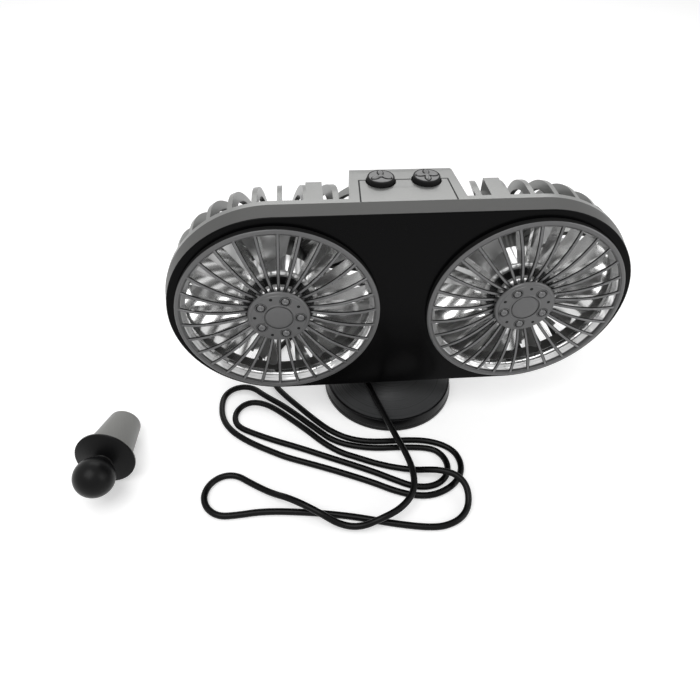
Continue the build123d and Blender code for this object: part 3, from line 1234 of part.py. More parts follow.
LEAD_JOIN = (-4.1, -41.5, 11.6)
LEAD_ROUTE = [
    GLAND_BOTTOM,
    (GLAND_X, GLAND_Y, 18.8),
    (-14.0, -13.3, 15.9),
    (-12.2, -18.2, 15.0),
    (-9.3, -26.5, 13.6),
    (-5.8, -36.5, 12.2),
    LEAD_JOIN,
]
PLUG_START = (-31.0, 50.0, PLUG_HEIGHT / 2)
CORD_ROUTE = [
    LEAD_JOIN,
    (-2.4, -46.5, 11.0),
    (1.3, -57.0, 10.4),
    (3.6, -67.5, 9.6),
    (2.6, -78.0, 8.6),
    (-4.5, -86.0, 8.0),
    (-14.5, -90.8, 8.0),
    (-24.5, -92.0, 3.4),
    (-34.0, -89.8, 3.4),
    (-43.0, -85.5, 8.0),
    (-55.5, -77.5, 8.0),
    (-65.0, -70.5, 2.4),
    (-75.0, -63.8, 1.6),
    (-82.5, -58.3, 1.6),
    (-89.8, -58.3, 1.6),
    (-95.6, -62.6, 1.6),
    (-97.9, -69.4, 1.6),
    (-95.6, -76.2, 1.6),
    (-89.8, -80.5, 1.6),
    (-82.3, -80.6, 1.6),
    (-68.7, -79.3, 1.6),
    (-48.1, -81.3, 1.6),
    (-27.2, -85.0, 1.6),
    (-7.2, -90.6, 1.6),
    (10.4, -93.8, 1.6),
    (19.4, -92.0, 1.6),
    (25.4, -88.0, 1.7),
    (28.6, -82.4, 3.0),
    (28.6, -75.6, 6.4),
    (24.9, -70.5, 8.4),
    (18.2, -67.2, 8.2),
    (12.5, -65.2, 6.6),
    (5.5, -62.6, 3.0),
    (-4.8, -59.2, 1.6),
    (-13.5, -56.1, 1.6),
    (-22.8, -51.8, 1.6),
    (-30.5, -48.3, 1.6),
    (-39.0, -41.6, 1.6),
    (-47.1, -32.8, 1.6),
    (-55.4, -24.7, 1.6),
    (-63.2, -17.4, 1.6),
    (-69.3, -13.0, 1.6),
    (-76.0, -11.0, 1.6),
    (-81.5, -12.9, 1.6),
    (-85.0, -17.5, 1.6),
    (-85.5, -23.3, 1.6),
    (-82.9, -28.4, 1.6),
    (-75.0, -33.0, 1.6),
    (-65.0, -38.0, 1.6),
    (-50.5, -44.2, 1.6),
    (-35.5, -51.4, 1.6),
    (-25.7, -55.9, 1.6),
    (-14.1, -61.5, 1.6),
    (-5.7, -66.2, 1.6),
    (3.0, -70.8, 1.6),
    (10.2, -71.9, 1.6),
    (16.5, -70.4, 1.6),
    (21.4, -66.0, 1.6),
    (23.2, -59.7, 1.6),
    (21.4, -53.3, 1.6),
    (16.5, -48.9, 1.6),
    (3.5, -47.3, 1.6),
    (-16.4, -46.9, 1.6),
    (-33.0, -41.5, 1.6),
    (-42.8, -31.7, 1.6),
    (-58.1, -16.0, 1.6),
    (-70.3, -6.4, 1.6),
    (-75.9, -0.8, 1.6),
    (-82.0, 0.9, 1.6),
    (-88.2, -0.8, 1.6),
    (-92.2, -5.5, 1.6),
    (-93.2, -12.8, 1.6),
    (-92.0, -21.6, 1.6),
    (-87.8, -29.4, 1.6),
    (-80.6, -36.0, 1.6),
    (-72.5, -41.4, 1.6),
    (-65.5, -45.3, 1.6),
    (-58.3, -49.3, 1.6),
    (-47.2, -53.7, 1.6),
    (-35.9, -58.3, 1.6),
    (-25.3, -63.0, 1.6),
    (-14.9, -67.8, 1.6),
    (-6.6, -72.4, 1.6),
    (2.3, -75.8, 1.6),
    (10.4, -76.8, 1.6),
    (17.9, -74.9, 1.6),
    (24.6, -70.7, 1.6),
    (29.0, -64.6, 1.6),
    (30.0, -57.6, 1.6),
    (27.7, -51.1, 1.6),
    (22.0, -46.6, 1.6),
    (14.2, -43.8, 1.6),
    (4.2, -42.8, 1.6),
    (-5.3, -43.0, 1.6),
    (-16.3, -42.4, 1.6),
    (-25.5, -39.9, 1.6),
    (-34.5, -34.4, 1.6),
    (-42.2, -26.6, 1.6),
    (-50.0, -17.5, 1.6),
    (-58.1, -8.0, 1.6),
    (-64.2, 0.5, 1.6),
    (-67.6, 11.0, 1.6),
    (-66.2, 24.0, 1.6),
    (-59.0, 36.0, 1.6),
    (-49.0, 45.5, 2.6),
    (-39.5, 50.0, PLUG_HEIGHT / 2),
    PLUG_START,
]
for name, route in (("cord_lead", LEAD_ROUTE), ("power_cord", CORD_ROUTE)):
    with BuildPart() as cord:
        with BuildLine():
            cord_way = FilletPolyline(*route, radius=bend_radii(route))
        with BuildSketch(Plane(origin=cord_way @ 0, z_dir=cord_way % 0)):
            Circle(CORD_R)
        sweep(path=cord_way)
    keep(cord.part, name)
    report_cord(name, route, cord_way, cord.part)

# Plug: lies flat behind the head
RELIEF_END_X = PLUG_START[0] + PLUG_RELIEF_LENGTH
with BuildPart() as usb_plug_body:
    with Locations((RELIEF_END_X, PLUG_START[1], PLUG_HEIGHT / 2)):
        Box(PLUG_LENGTH, PLUG_WIDTH, PLUG_HEIGHT, align=(Align.MIN, Align.CENTER, Align.CENTER))
    fillet(usb_plug_body.edges().filter_by(Axis.X), PLUG_EDGE)
    with Locations(Plane(origin=PLUG_START, z_dir=(1, 0, 0))):
        Cone(PLUG_RELIEF_END_R, PLUG_RELIEF_R, PLUG_RELIEF_LENGTH, align=FROM_START)
keep(usb_plug_body.part, "usb_plug_body")

with BuildPart() as usb_plug_shell:
    with Locations((RELIEF_END_X + PLUG_LENGTH, PLUG_START[1], PLUG_HEIGHT / 2)):
        Box(
            PLUG_SHELL_LENGTH,
            PLUG_SHELL_WIDTH,
            PLUG_SHELL_HEIGHT,
            align=(Align.MIN, Align.CENTER, Align.CENTER),
        )
    with Locations((RELIEF_END_X + PLUG_LENGTH + PLUG_SHELL_LENGTH, PLUG_START[1], PLUG_HEIGHT / 2)):
        Box(
            2 * PLUG_SHELL_HOLLOW,
            PLUG_SHELL_WIDTH - 2 * PLUG_SHELL_WALL,
            PLUG_SHELL_HEIGHT - 2 * PLUG_SHELL_WALL,
            mode=Mode.SUBTRACT,
        )
    with Locations(
        (
            RELIEF_END_X + PLUG_LENGTH,
            PLUG_START[1],
            PLUG_HEIGHT / 2 - PLUG_SHELL_HEIGHT / 2,
        )
    ):
        Box(
            PLUG_SHELL_LENGTH,
            PLUG_SHELL_WIDTH - PLUG_SHELL_WALL,
            PLUG_TONGUE,
            align=(Align.MIN, Align.CENTER, Align.MIN),
        )
keep(usb_plug_shell.part, "usb_plug_shell")
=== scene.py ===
"""Visible finish of the dual head car fan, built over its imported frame.

Sizes in the dataclasses are millimetres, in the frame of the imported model: the origin is
the centre of the base's underside, +X runs along the head, -Y is the front that the air
leaves by, and +Z is up. Depths are measured backwards from the head's front plate.
Meshes are made in metres.
"""

from __future__ import annotations

import json
import logging
from dataclasses import dataclass, field
from enum import Enum
from math import asin, atan2, copysign, cos, degrees, pi, radians, sin, sqrt
from typing import Iterable, Protocol, Sequence

import bmesh
import bpy
from bpy.types import Material, Node, NodeSocket, NodeTree, Object
from mathutils import Matrix, Vector

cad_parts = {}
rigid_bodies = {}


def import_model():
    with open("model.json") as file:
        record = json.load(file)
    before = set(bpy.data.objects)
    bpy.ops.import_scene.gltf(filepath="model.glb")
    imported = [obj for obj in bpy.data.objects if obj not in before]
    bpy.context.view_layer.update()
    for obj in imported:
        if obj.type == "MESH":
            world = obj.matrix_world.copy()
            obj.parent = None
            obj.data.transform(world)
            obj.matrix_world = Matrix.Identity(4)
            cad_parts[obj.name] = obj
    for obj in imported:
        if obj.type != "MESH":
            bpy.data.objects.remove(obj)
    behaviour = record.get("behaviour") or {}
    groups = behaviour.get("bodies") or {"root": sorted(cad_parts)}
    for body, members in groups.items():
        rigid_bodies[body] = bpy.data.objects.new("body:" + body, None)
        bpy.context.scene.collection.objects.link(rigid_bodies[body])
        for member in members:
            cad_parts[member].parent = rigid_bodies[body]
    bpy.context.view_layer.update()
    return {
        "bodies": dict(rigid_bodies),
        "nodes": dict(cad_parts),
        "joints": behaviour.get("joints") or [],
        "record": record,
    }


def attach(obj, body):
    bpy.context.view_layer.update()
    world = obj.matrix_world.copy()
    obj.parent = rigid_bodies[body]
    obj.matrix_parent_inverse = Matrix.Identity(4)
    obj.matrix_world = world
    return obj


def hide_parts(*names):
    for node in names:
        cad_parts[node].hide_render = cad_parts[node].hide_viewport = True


LOG = logging.getLogger("car_fan")

# One millimetre, in metres.
MM = 0.001

# The head: its fans' axes, its front plate, its depth and half its height.
FAN_X = 57.0
HEAD_Z = 74.0
FRONT_Y = -22.0
HEAD_DEPTH = 45.0
HEAD_R = 51.0
BOX_TOP_Z = HEAD_Z + HEAD_R

# The cage of ribs: its outer radius, the rounding of its back and its ribs' thickness.
CAGE_R = 50.4
CAGE_ROUND = 27.0
CAGE_WALL = 4.3

# The push buttons' distance from the middle, and the ball under the head.
BUTTON_X = 10.0
BALL_Z = 36.0
BALL_R = 9.4

Corner = tuple[float, float, float]
Profile = Sequence[Corner]
Rgb = tuple[float, float, float]
Axis = tuple[tuple[float, float, float], tuple[float, float, float]]

BACKWARDS = (0.0, 1.0, 0.0)
UPWARDS = (0.0, 0.0, 1.0)
UPRIGHT: Axis = ((0.0, 0.0, 0.0), UPWARDS)


class Side(Enum):
    """The two halves of the head, by the direction in which each lies."""

    LEFT = -1
    RIGHT = 1

    @property
    def label(self) -> str:
        """Lower-case word used in node and piece names."""
        return self.name.lower()

    @property
    def axis_x(self) -> float:
        """Sideways place of this side's fan axis, in mm."""
        return self.value * FAN_X


class Body(Enum):
    """Rigid bodies of the frame that a piece can ride on."""

    BASE = "base"
    POST = "post"
    HEAD = "head"
    FAN_LEFT = "fan_left"
    FAN_RIGHT = "fan_right"
    BUTTON_LEFT = "button_left"
    BUTTON_RIGHT = "button_right"
    SPARE_STUD = "spare_stud"

    @classmethod
    def fan(cls, side: Side) -> Body:
        """A side's turning fan."""
        return cls(f"fan_{side.label}")

    @classmethod
    def button(cls, side: Side) -> Body:
        """A side's push button."""
        return cls(f"button_{side.label}")


class Slot(Enum):
    """Material slots of the record that a piece can fill."""

    BLACK = "black_plastic"
    GRILLE = "grille_plastic"
    BLADE = "blade_plating"
    SILVER = "silver_plastic"
    CHROME = "chrome"
    DARK = "dark_plastic"
    BASE = "base_plastic"
    PAD = "pad_foam"
    CORD = "cord_rubber"
    STEEL = "steel"


# Node trees


class Bench:
    """Places and links the nodes of one tree."""

    def __init__(self, tree: NodeTree) -> None:
        """Start work on a tree."""
        self.tree = tree
        self.column = 0

    def node(self, kind: str, **settings: object) -> Node:
        """Add a node.

        Args:
            kind: Blender's type name of the node.
            settings: Properties set on it.

        Returns:
            The new node.
        """
        made = self.tree.nodes.new(kind)
        made.location = (self.column * 190, -(self.column % 3) * 120)
        self.column += 1
        for name, value in settings.items():
            setattr(made, name, value)
        return made

    def feed(self, source: object, target: NodeSocket) -> None:
        """Give a socket a link or a plain value.

        Args:
            source: A socket to link from, or a number, tuple or colour.
            target: The input that takes it.
        """
        if isinstance(source, NodeSocket):
            self.tree.links.new(source, target)
        else:
            target.default_value = source

    def math(self, operation: str, *values: object, clamp: bool = False) -> NodeSocket:
        """Place a Math node.

        Args:
            operation: Name of the operation.
            values: Its inputs, sockets or numbers.
            clamp: Whether the result stays between 0 and 1.

        Returns:
            Its output.
        """
        made = self.node("ShaderNodeMath", operation=operation, use_clamp=clamp)
        for socket, value in zip(made.inputs, values):
            self.feed(value, socket)
        return made.outputs[0]

    def span(self, value: object, low: float, high: float, to_low: float, to_high: float) -> NodeSocket:
        """Map a value from one span to another, held at both ends.

        Args:
            value: The input.
            low: Input that gives to_low.
            high: Input that gives to_high.
            to_low: Lowest output.
            to_high: Highest output.

        Returns:
            The mapped value.
        """
        made = self.node("ShaderNodeMapRange", clamp=True)
        for socket, given in zip(made.inputs, (value, low, high, to_low, to_high)):
            self.feed(given, socket)
        return made.outputs[0]

    def turn_at(self, value: object, place: float, soft: float, rising: bool = True) -> NodeSocket:
        """Mask that turns over at one place.

        Args:
            value: The input.
            place: Where it turns, in metres.
            soft: Half the width over which it turns, in mm.
            rising: Whether it is 1 past the place, or 1 before it.

        Returns:
            The mask.
        """
        ends = (0.0, 1.0) if rising else (1.0, 0.0)
        return self.span(value, place - soft * MM, place + soft * MM, *ends)

    def part(self, vector: NodeSocket, index: int) -> NodeSocket:
        """One part of a vector.

        Args:
            vector: The vector.
            index: 0 for sideways, 1 for backwards or 2 for up.

        Returns:
            The part.
        """
        apart = self.node("ShaderNodeSeparateXYZ")
        self.feed(vector, apart.inputs[0])
        return apart.outputs[index]

    def hypotenuse(self, first: object, second: object) -> NodeSocket:
        """Distance that two distances at right angles give.

        Args:
            first: One distance.
            second: The other.

        Returns:
            The distance.
        """
        squares = [self.math("MULTIPLY", side, side) for side in (first, second)]
        return self.math("SQRT", self.math("ADD", *squares))

    def noise(
        self, vector: object, scale: object, detail: float = 3.0, roughness: float = 0.5
    ) -> NodeSocket:
        """Place a Noise Texture.

        Args:
            vector: Coordinates that it reads.
            scale: Number of features in a metre.
            detail: Octaves.
            roughness: Weight of the finer octaves.

        Returns:
            Its value.
        """
        made = self.node("ShaderNodeTexNoise")
        self.feed(vector, made.inputs["Vector"])
        self.feed(scale, made.inputs["Scale"])
        made.inputs["Detail"].default_value = detail
        made.inputs["Roughness"].default_value = roughness
        return made.outputs[0]

    def blend(self, mask: object, first: object, second: object) -> NodeSocket:
        """Mix two colours.

        Args:
            mask: Share of the second colour.
            first: Colour where the mask is 0.
            second: Colour where the mask is 1.

        Returns:
            The mixed colour.
        """
        made = self.node("ShaderNodeMix", data_type="RGBA")
        sockets = {socket.identifier: socket for socket in made.inputs}
        self.feed(mask, sockets["Factor_Float"])
        self.feed(first, sockets["A_Color"])
        self.feed(second, sockets["B_Color"])
        return next(s for s in made.outputs if s.identifier == "Result_Color")


def group(name: str, inputs: dict[str, float | tuple], outputs: dict[str, str]) -> tuple[Bench, Node, Node]:
    """Start a shader node group.

    Args:
        name: Name of the group.
        inputs: Input names with their default value, a number or a vector.
        outputs: Output names with their socket types.

    Returns:
        The bench, the group's input node and its output node.
    """
    tree = bpy.data.node_groups.new(name, "ShaderNodeTree")
    for label, value in inputs.items():
        kind = "NodeSocketVector" if isinstance(value, tuple) else "NodeSocketFloat"
        socket = tree.interface.new_socket(name=label, in_out="INPUT", socket_type=kind)
        socket.default_value = value
    for label, kind in outputs.items():
        tree.interface.new_socket(name=label, in_out="OUTPUT", socket_type=kind)
    bench = Bench(tree)
    return bench, bench.node("NodeGroupInput"), bench.node("NodeGroupOutput")


def moulded_grain() -> NodeTree:
    """Fine texture of a moulded skin, with slow changes of tint and gloss over the piece.

    Returns:
        The group. Shade is about 1, Dullness about 0 and Height from 0 to 1.
    """
    bench, given, out = group(
        "moulded_grain",
        {"Vector": (0.0, 0.0, 0.0), "Grains": 2500.0, "Patches": 40.0, "Change": 0.1},
        {"Shade": "NodeSocketFloat", "Dullness": "NodeSocketFloat", "Height": "NodeSocketFloat"},
    )
    vector, change = given.outputs["Vector"], given.outputs["Change"]
    patches = bench.noise(vector, given.outputs["Patches"], 4.0, 0.6)
    grains = bench.noise(vector, given.outputs["Grains"], 2.0, 0.6)
    both = bench.math("ADD", bench.math("MULTIPLY", patches, 0.7), bench.math("MULTIPLY", grains, 0.3))
    drift = bench.math("MULTIPLY", bench.math("SUBTRACT", both, 0.5), change)
    bench.feed(bench.math("MULTIPLY_ADD", drift, 2.0, 1.0), out.inputs["Shade"])
    bench.feed(bench.math("MULTIPLY", bench.math("SUBTRACT", patches, 0.5), change), out.inputs["Dullness"])
    bench.feed(grains, out.inputs["Height"])
    return bench.tree


def handling_marks() -> NodeTree:
    """Faint smears and hairlines left by fingers and cloths.

    Returns:
        The group. Smear and Hairline are masks from 0 to 1.
    """
    bench, given, out = group(
        "handling_marks",
        {"Vector": (0.0, 0.0, 0.0), "Size": 60.0, "Amount": 0.5},
        {"Smear": "NodeSocketFloat", "Hairline": "NodeSocketFloat"},
    )
    vector, size = given.outputs["Vector"], given.outputs["Size"]
    cloud = bench.noise(vector, size, 5.0, 0.65)
    smear = bench.span(cloud, 0.48, 0.72, 0.0, 1.0)
    stretched = bench.node("ShaderNodeMapping")
    bench.feed(vector, stretched.inputs["Vector"])
    stretched.inputs["Scale"].default_value = (1.0, 6.0, 40.0)
    stretched.inputs["Rotation"].default_value = (0.5, 0.3, 0.9)
    lines = bench.noise(stretched.outputs[0], bench.math("MULTIPLY", size, 2.0), 2.0, 0.4)
    hairline = bench.span(lines, 0.66, 0.72, 0.0, 1.0)
    amount = given.outputs["Amount"]
    bench.feed(bench.math("MULTIPLY", smear, amount), out.inputs["Smear"])
    bench.feed(bench.math("MULTIPLY", hairline, amount), out.inputs["Hairline"])
    return bench.tree


def turned_rings() -> NodeTree:
    """Fine rings round an axis, as a turned mould leaves on a round piece.

    Returns:
        The group. Height runs from 0 to 1 over each ring and the streak output is a slow mask of concentric
        bands.
    """
    bench, given, out = group(
        "turned_rings",
        {"Vector": (0.0, 0.0, 0.0), "Rings": 3500.0},
        {"Height": "NodeSocketFloat", "Streak": "NodeSocketFloat"},
    )
    vector, rings = given.outputs["Vector"], given.outputs["Rings"]
    radius = bench.hypotenuse(bench.part(vector, 0), bench.part(vector, 1))
    wave = bench.math("SINE", bench.math("MULTIPLY", radius, rings))
    bench.feed(bench.math("MULTIPLY_ADD", wave, 0.5, 0.5), out.inputs["Height"])
    line = bench.node("ShaderNodeCombineXYZ")
    bench.feed(radius, line.inputs[0])
    bench.feed(bench.noise(line.outputs[0], bench.math("MULTIPLY", rings, 0.3), 3.0), out.inputs["Streak"])
    return bench.tree


@dataclass
class Effects:
    """Shader groups that several finishes share, each made once."""

    grain: NodeTree = field(default_factory=moulded_grain)
    marks: NodeTree = field(default_factory=handling_marks)
    rings: NodeTree = field(default_factory=turned_rings)


class Coat:
    """One material under construction: its bench, its shader and its coordinates."""

    def __init__(self, name: str, effects: Effects) -> None:
        """Start the material with its coordinates, its shader and its output.

        Args:
            name: Name of the material.
            effects: The shared groups.
        """
        self.material = bpy.data.materials.new(name)
        self.material.use_nodes = True
        self.material.node_tree.nodes.clear()
        self.bench = Bench(self.material.node_tree)
        self.effects = effects
        self.place = self.bench.node("ShaderNodeTexCoord").outputs["Object"]
        self.shader = self.bench.node("ShaderNodeBsdfPrincipled")
        end = self.bench.node("ShaderNodeOutputMaterial")
        self.bench.feed(self.shader.outputs[0], end.inputs["Surface"])

    def shared(self, tree: NodeTree, **values: object) -> dict[str, NodeSocket]:
        """Place a shared group.

        Args:
            tree: The group.
            values: Its inputs by name; Vector is the object's own coordinates if left out.

        Returns:
            Its outputs by name.
        """
        made = self.bench.node("ShaderNodeGroup", node_tree=tree)
        self.bench.feed(values.pop("Vector", self.place), made.inputs["Vector"])
        for name, value in values.items():
            self.bench.feed(value, made.inputs[name])
        return {socket.name: socket for socket in made.outputs}

    def put(self, name: str, value: object) -> None:
        """Give an input of the shader a link or a plain value."""
        self.bench.feed(value, self.shader.inputs[name])

    def tint(self, colour: Rgb, shade: NodeSocket) -> NodeSocket:
        """Scale a colour by a shade that changes over the surface.

        Args:
            colour: The plain colour.
            shade: A value about 1.

        Returns:
            The changed colour.
        """
        dark = tuple(c * 0.5 for c in colour) + (1.0,)
        pale = tuple(min(1.0, c * 1.5) for c in colour) + (1.0,)
        return self.bench.blend(self.bench.math("SUBTRACT", shade, 0.5, clamp=True), dark, pale)

    def relief(self, height: object, depth: float, strength: float = 1.0) -> None:
        """Bump the surface.

        Args:
            height: Height from 0 to 1.
            depth: Depth of the relief in mm.
            strength: Share of it that shows.
        """
        bump = self.bench.node("ShaderNodeBump")
        bump.inputs["Strength"].default_value = strength
        bump.inputs["Distance"].default_value = depth * MM
        self.bench.feed(height, bump.inputs["Height"])
        self.put("Normal", bump.outputs[0])


class Finish:
    """What a kind of surface does to its material's shader."""

    name: str

    def lay(self, coat: Coat) -> None:
        """Set the shader's inputs. Each kind of finish has its own way."""
        raise NotImplementedError

    def make(self, effects: Effects) -> Material:
        """Build the material.

        Args:
            effects: The shared groups.

        Returns:
            The material.
        """
        coat = Coat(self.name, effects)
        self.lay(coat)
        return coat.material


@dataclass(frozen=True)
class MouldedPlastic(Finish):
    """Injection-moulded plastic, with or without a metallic paint."""

    name: str
    colour: Rgb
    roughness: float
    specular: float = 0.5
    metallic: float = 0.0
    change: float = 0.12
    grain_depth: float = 0.01
    grains: float = 2600.0
    marks: float = 0.3
    lacquer: float = 0.0
    lacquer_roughness: float = 0.12

    def skin(self, coat: Coat, shade: NodeSocket) -> NodeSocket:
        """Colour of the surface, with the shade's slow changes in it."""
        return coat.tint(self.colour, shade)

    def lay(self, coat: Coat) -> None:
        """Set the shader's inputs.

        Args:
            coat: The material being built.
        """
        bench = coat.bench
        grain = coat.shared(coat.effects.grain, Grains=self.grains, Change=self.change)
        marks = coat.shared(coat.effects.marks, Amount=self.marks)
        coat.put("Base Color", self.skin(coat, grain["Shade"]))
        dull = bench.math("MULTIPLY_ADD", grain["Dullness"], 0.6, self.roughness)
        dull = bench.math("MULTIPLY_ADD", marks["Smear"], 0.10, dull)
        dull = bench.math("MULTIPLY_ADD", marks["Hairline"], 0.08, dull, clamp=True)
        coat.put("Roughness", dull)
        coat.put("Specular IOR Level", self.specular)
        coat.put("Metallic", self.metallic)
        coat.put("Coat Weight", self.lacquer)
        coat.put("Coat Roughness", self.lacquer_roughness)
        coat.relief(grain["Height"], self.grain_depth)


@dataclass(frozen=True)
class CagePlastic(MouldedPlastic):
    """Silver plastic of the ribbed cage, with a near-black painted shade inside the ribs' inner edge."""

    # Near-black painted shade inside the cage, and how far past the ribs' inner edge it reaches, in mm.
    bare: Rgb = (0.028, 0.028, 0.027)
    paint_reach: float = 0.3

    def unpainted(self, coat: Coat) -> NodeSocket:
        """Mask of the painted shade: what lies inside the ribs' inner edge and doesn't face backwards.

        Args:
            coat: The material being built.

        Returns:
            The mask, 1 where the painted shade lies.
        """
        bench = coat.bench
        aside = bench.math("SUBTRACT", bench.math("ABSOLUTE", bench.part(coat.place, 0)), FAN_X * MM)
        rise = bench.math("SUBTRACT", bench.part(coat.place, 2), HEAD_Z * MM)
        radius = bench.hypotenuse(aside, rise)
        out = bench.math("SUBTRACT", radius, (CAGE_R - CAGE_ROUND) * MM)
        back = bench.math("SUBTRACT", bench.part(coat.place, 1), (FRONT_Y + HEAD_DEPTH - CAGE_ROUND) * MM)
        reach = bench.hypotenuse(bench.math("MAXIMUM", out, 0.0), bench.math("MAXIMUM", back, 0.0))
        inside = bench.turn_at(reach, (CAGE_ROUND - CAGE_WALL + self.paint_reach) * MM, 0.2, rising=False)
        normal = bench.node("ShaderNodeTexCoord").outputs["Normal"]
        forwards = bench.span(bench.part(normal, 1), 0.15, 0.35, 1.0, 0.0)
        return bench.math("MULTIPLY", forwards, inside)

    def skin(self, coat: Coat, shade: NodeSocket) -> NodeSocket:
        """Silver colour, with the painted shade inside the cage."""
        return coat.bench.blend(self.unpainted(coat), coat.tint(self.colour, shade), self.bare + (1.0,))


@dataclass(frozen=True)
class FacedPlastic(Finish):
    """Front moulding: a glossy dark face on a lighter, satin rim."""

    name: str
    face: Rgb
    rim: Rgb
    face_roughness: float
    rim_roughness: float
    split_depth: float
    specular: float = 0.06
    grain_depth: float = 0.004

    def lay(self, coat: Coat) -> None:
        """Set the shader's inputs.

        Args:
            coat: The material being built.
        """
        bench = coat.bench
        grain = coat.shared(coat.effects.grain, Grains=2200.0, Change=0.10)
        marks = coat.shared(coat.effects.marks, Amount=0.35, Size=45.0)
        rim = bench.turn_at(bench.part(coat.place, 1), (FRONT_Y + self.split_depth) * MM, 0.15)
        face_tint = coat.tint(self.face, grain["Shade"])
        rim_tint = coat.tint(self.rim, grain["Shade"])
        coat.put("Base Color", bench.blend(rim, face_tint, rim_tint))
        plain = bench.span(rim, 0.0, 1.0, self.face_roughness, self.rim_roughness)
        plain = bench.math("MULTIPLY_ADD", marks["Smear"], 0.09, plain)
        plain = bench.math("MULTIPLY_ADD", marks["Hairline"], 0.06, plain)
        coat.put("Roughness", bench.math("MULTIPLY_ADD", grain["Dullness"], 0.5, plain, clamp=True))
        coat.put("Specular IOR Level", self.specular)
        coat.relief(grain["Height"], self.grain_depth)


@dataclass(frozen=True)
class Plating(Finish):
    """Bright metal film on plastic, or plain polished metal."""

    name: str
    colour: Rgb
    roughness: float
    change: float = 0.06
    ripple: float = 0.004
    marks: float = 0.5
    metallic: float = 1.0

    def lay(self, coat: Coat) -> None:
        """Set the shader's inputs.

        Args:
            coat: The material being built.
        """
        bench = coat.bench
        grain = coat.shared(coat.effects.grain, Grains=500.0, Patches=90.0, Change=self.change)
        marks = coat.shared(coat.effects.marks, Amount=self.marks, Size=110.0)
        coat.put("Base Color", coat.tint(self.colour, grain["Shade"]))
        coat.put("Metallic", self.metallic)
        dull = bench.math("MULTIPLY_ADD", marks["Smear"], 0.08, self.roughness)
        coat.put("Roughness", bench.math("MULTIPLY_ADD", marks["Hairline"], 0.12, dull, clamp=True))
        coat.relief(grain["Height"], self.ripple)


@dataclass(frozen=True)
class TurnedPlastic(Finish):
    """Round moulding whose skin keeps the mould's fine turning rings, with a band below a height."""

    name: str
    colour: Rgb
    roughness: float
    band: Rgb = (0.0, 0.0, 0.0)
    band_below: float = -1000.0
    specular: float = 0.5
    ring_depth: float = 0.006

    def lay(self, coat: Coat) -> None:
        """Set the shader's inputs.

        Args:
            coat: The material being built.
        """
        bench = coat.bench
        grain = coat.shared(coat.effects.grain, Change=0.14)
        rings = coat.shared(coat.effects.rings)
        upper = bench.turn_at(bench.part(coat.place, 2), self.band_below * MM, 0.1)
        # The streak mask lightens and darkens the colour in concentric bands: painted sheen of the turned
        # surface together with the mould's turning marks.
        shade = bench.math("SUBTRACT", grain["Shade"], 0.12)
        sheen_streaked = bench.math("MULTIPLY_ADD", rings["Streak"], 0.24, shade)
        skin = coat.tint(self.colour, sheen_streaked)
        coat.put("Base Color", bench.blend(upper, self.band + (1.0,), skin))
        dull = bench.math("MULTIPLY_ADD", rings["Streak"], 0.12, self.roughness - 0.06)
        coat.put("Roughness", bench.math("MULTIPLY_ADD", grain["Dullness"], 0.4, dull, clamp=True))
        coat.put("Specular IOR Level", self.specular)
        coat.relief(rings["Height"], self.ring_depth)


@dataclass(frozen=True)
class Rubber(Finish):
    """Soft vinyl or rubber skin of a lead, gland or plug."""

    name: str
    colour: Rgb
    roughness: float
    specular: float = 0.4
    dust: float = 0.6
    grain_depth: float = 0.012

    def lay(self, coat: Coat) -> None:
        """Set the shader's inputs.

        Args:
            coat: The material being built.
        """
        bench = coat.bench
        grain = coat.shared(coat.effects.grain, Grains=3800.0, Patches=70.0, Change=0.2)
        marks = coat.shared(coat.effects.marks, Amount=0.5, Size=80.0)
        dusty = tuple(min(1.0, c * 1.6 + 0.008) for c in self.colour) + (1.0,)
        clean = coat.tint(self.colour, grain["Shade"])
        coat.put("Base Color", bench.blend(bench.math("MULTIPLY", marks["Smear"], self.dust), clean, dusty))
        coat.put("Roughness", bench.math("MULTIPLY_ADD", marks["Smear"], 0.14, self.roughness, clamp=True))
        coat.put("Specular IOR Level", self.specular)
        coat.relief(grain["Height"], self.grain_depth)


@dataclass(frozen=True)
class Foam(Finish):
    """Closed-cell foam of the adhesive pad."""

    name: str
    colour: Rgb
    roughness: float = 0.88
    cells: float = 1400.0
    cell_depth: float = 0.15

    def lay(self, coat: Coat) -> None:
        """Set the shader's inputs.

        Args:
            coat: The material being built.
        """
        bench = coat.bench
        cells = bench.node("ShaderNodeTexVoronoi")
        bench.feed(coat.place, cells.inputs["Vector"])
        cells.inputs["Scale"].default_value = self.cells
        grain = coat.shared(coat.effects.grain, Change=0.3)
        coat.put("Base Color", coat.tint(self.colour, grain["Shade"]))
        dull = bench.math("MULTIPLY_ADD", grain["Dullness"], 0.3, self.roughness, clamp=True)
        coat.put("Roughness", dull)
        coat.put("Specular IOR Level", 0.2)
        coat.relief(cells.outputs["Distance"], self.cell_depth)


@dataclass(frozen=True)
class Laminated(Finish):
    """Stacked steel sheets with varnished copper wire over them."""

    name: str
    sheet: Rgb
    wire: Rgb
    stack_front: float = 26.0
    stack_back: float = 33.0
    sheet_waves: float = 12500.0
    sheet_relief: float = 0.05

    def lay(self, coat: Coat) -> None:
        """Set the shader's inputs.

        Args:
            coat: The material being built.
        """
        bench = coat.bench
        depth = bench.part(coat.place, 1)
        wave = bench.math("SINE", bench.math("MULTIPLY", depth, self.sheet_waves))
        layers = bench.math("MULTIPLY_ADD", wave, 0.5, 0.5)
        behind = bench.turn_at(depth, (FRONT_Y + self.stack_front) * MM, 0.05)
        before = bench.turn_at(depth, (FRONT_Y + self.stack_back) * MM, 0.05, rising=False)
        inside = bench.math("MULTIPLY", behind, before)
        grain = coat.shared(coat.effects.grain, Grains=1500.0, Change=0.3)
        wire, sheet = (coat.tint(colour, grain["Shade"]) for colour in (self.wire, self.sheet))
        coat.put("Base Color", bench.blend(inside, wire, sheet))
        coat.put("Metallic", 0.8)
        coat.put("Roughness", bench.span(layers, 0.0, 1.0, 0.3, 0.5))
        coat.relief(layers, self.sheet_relief)


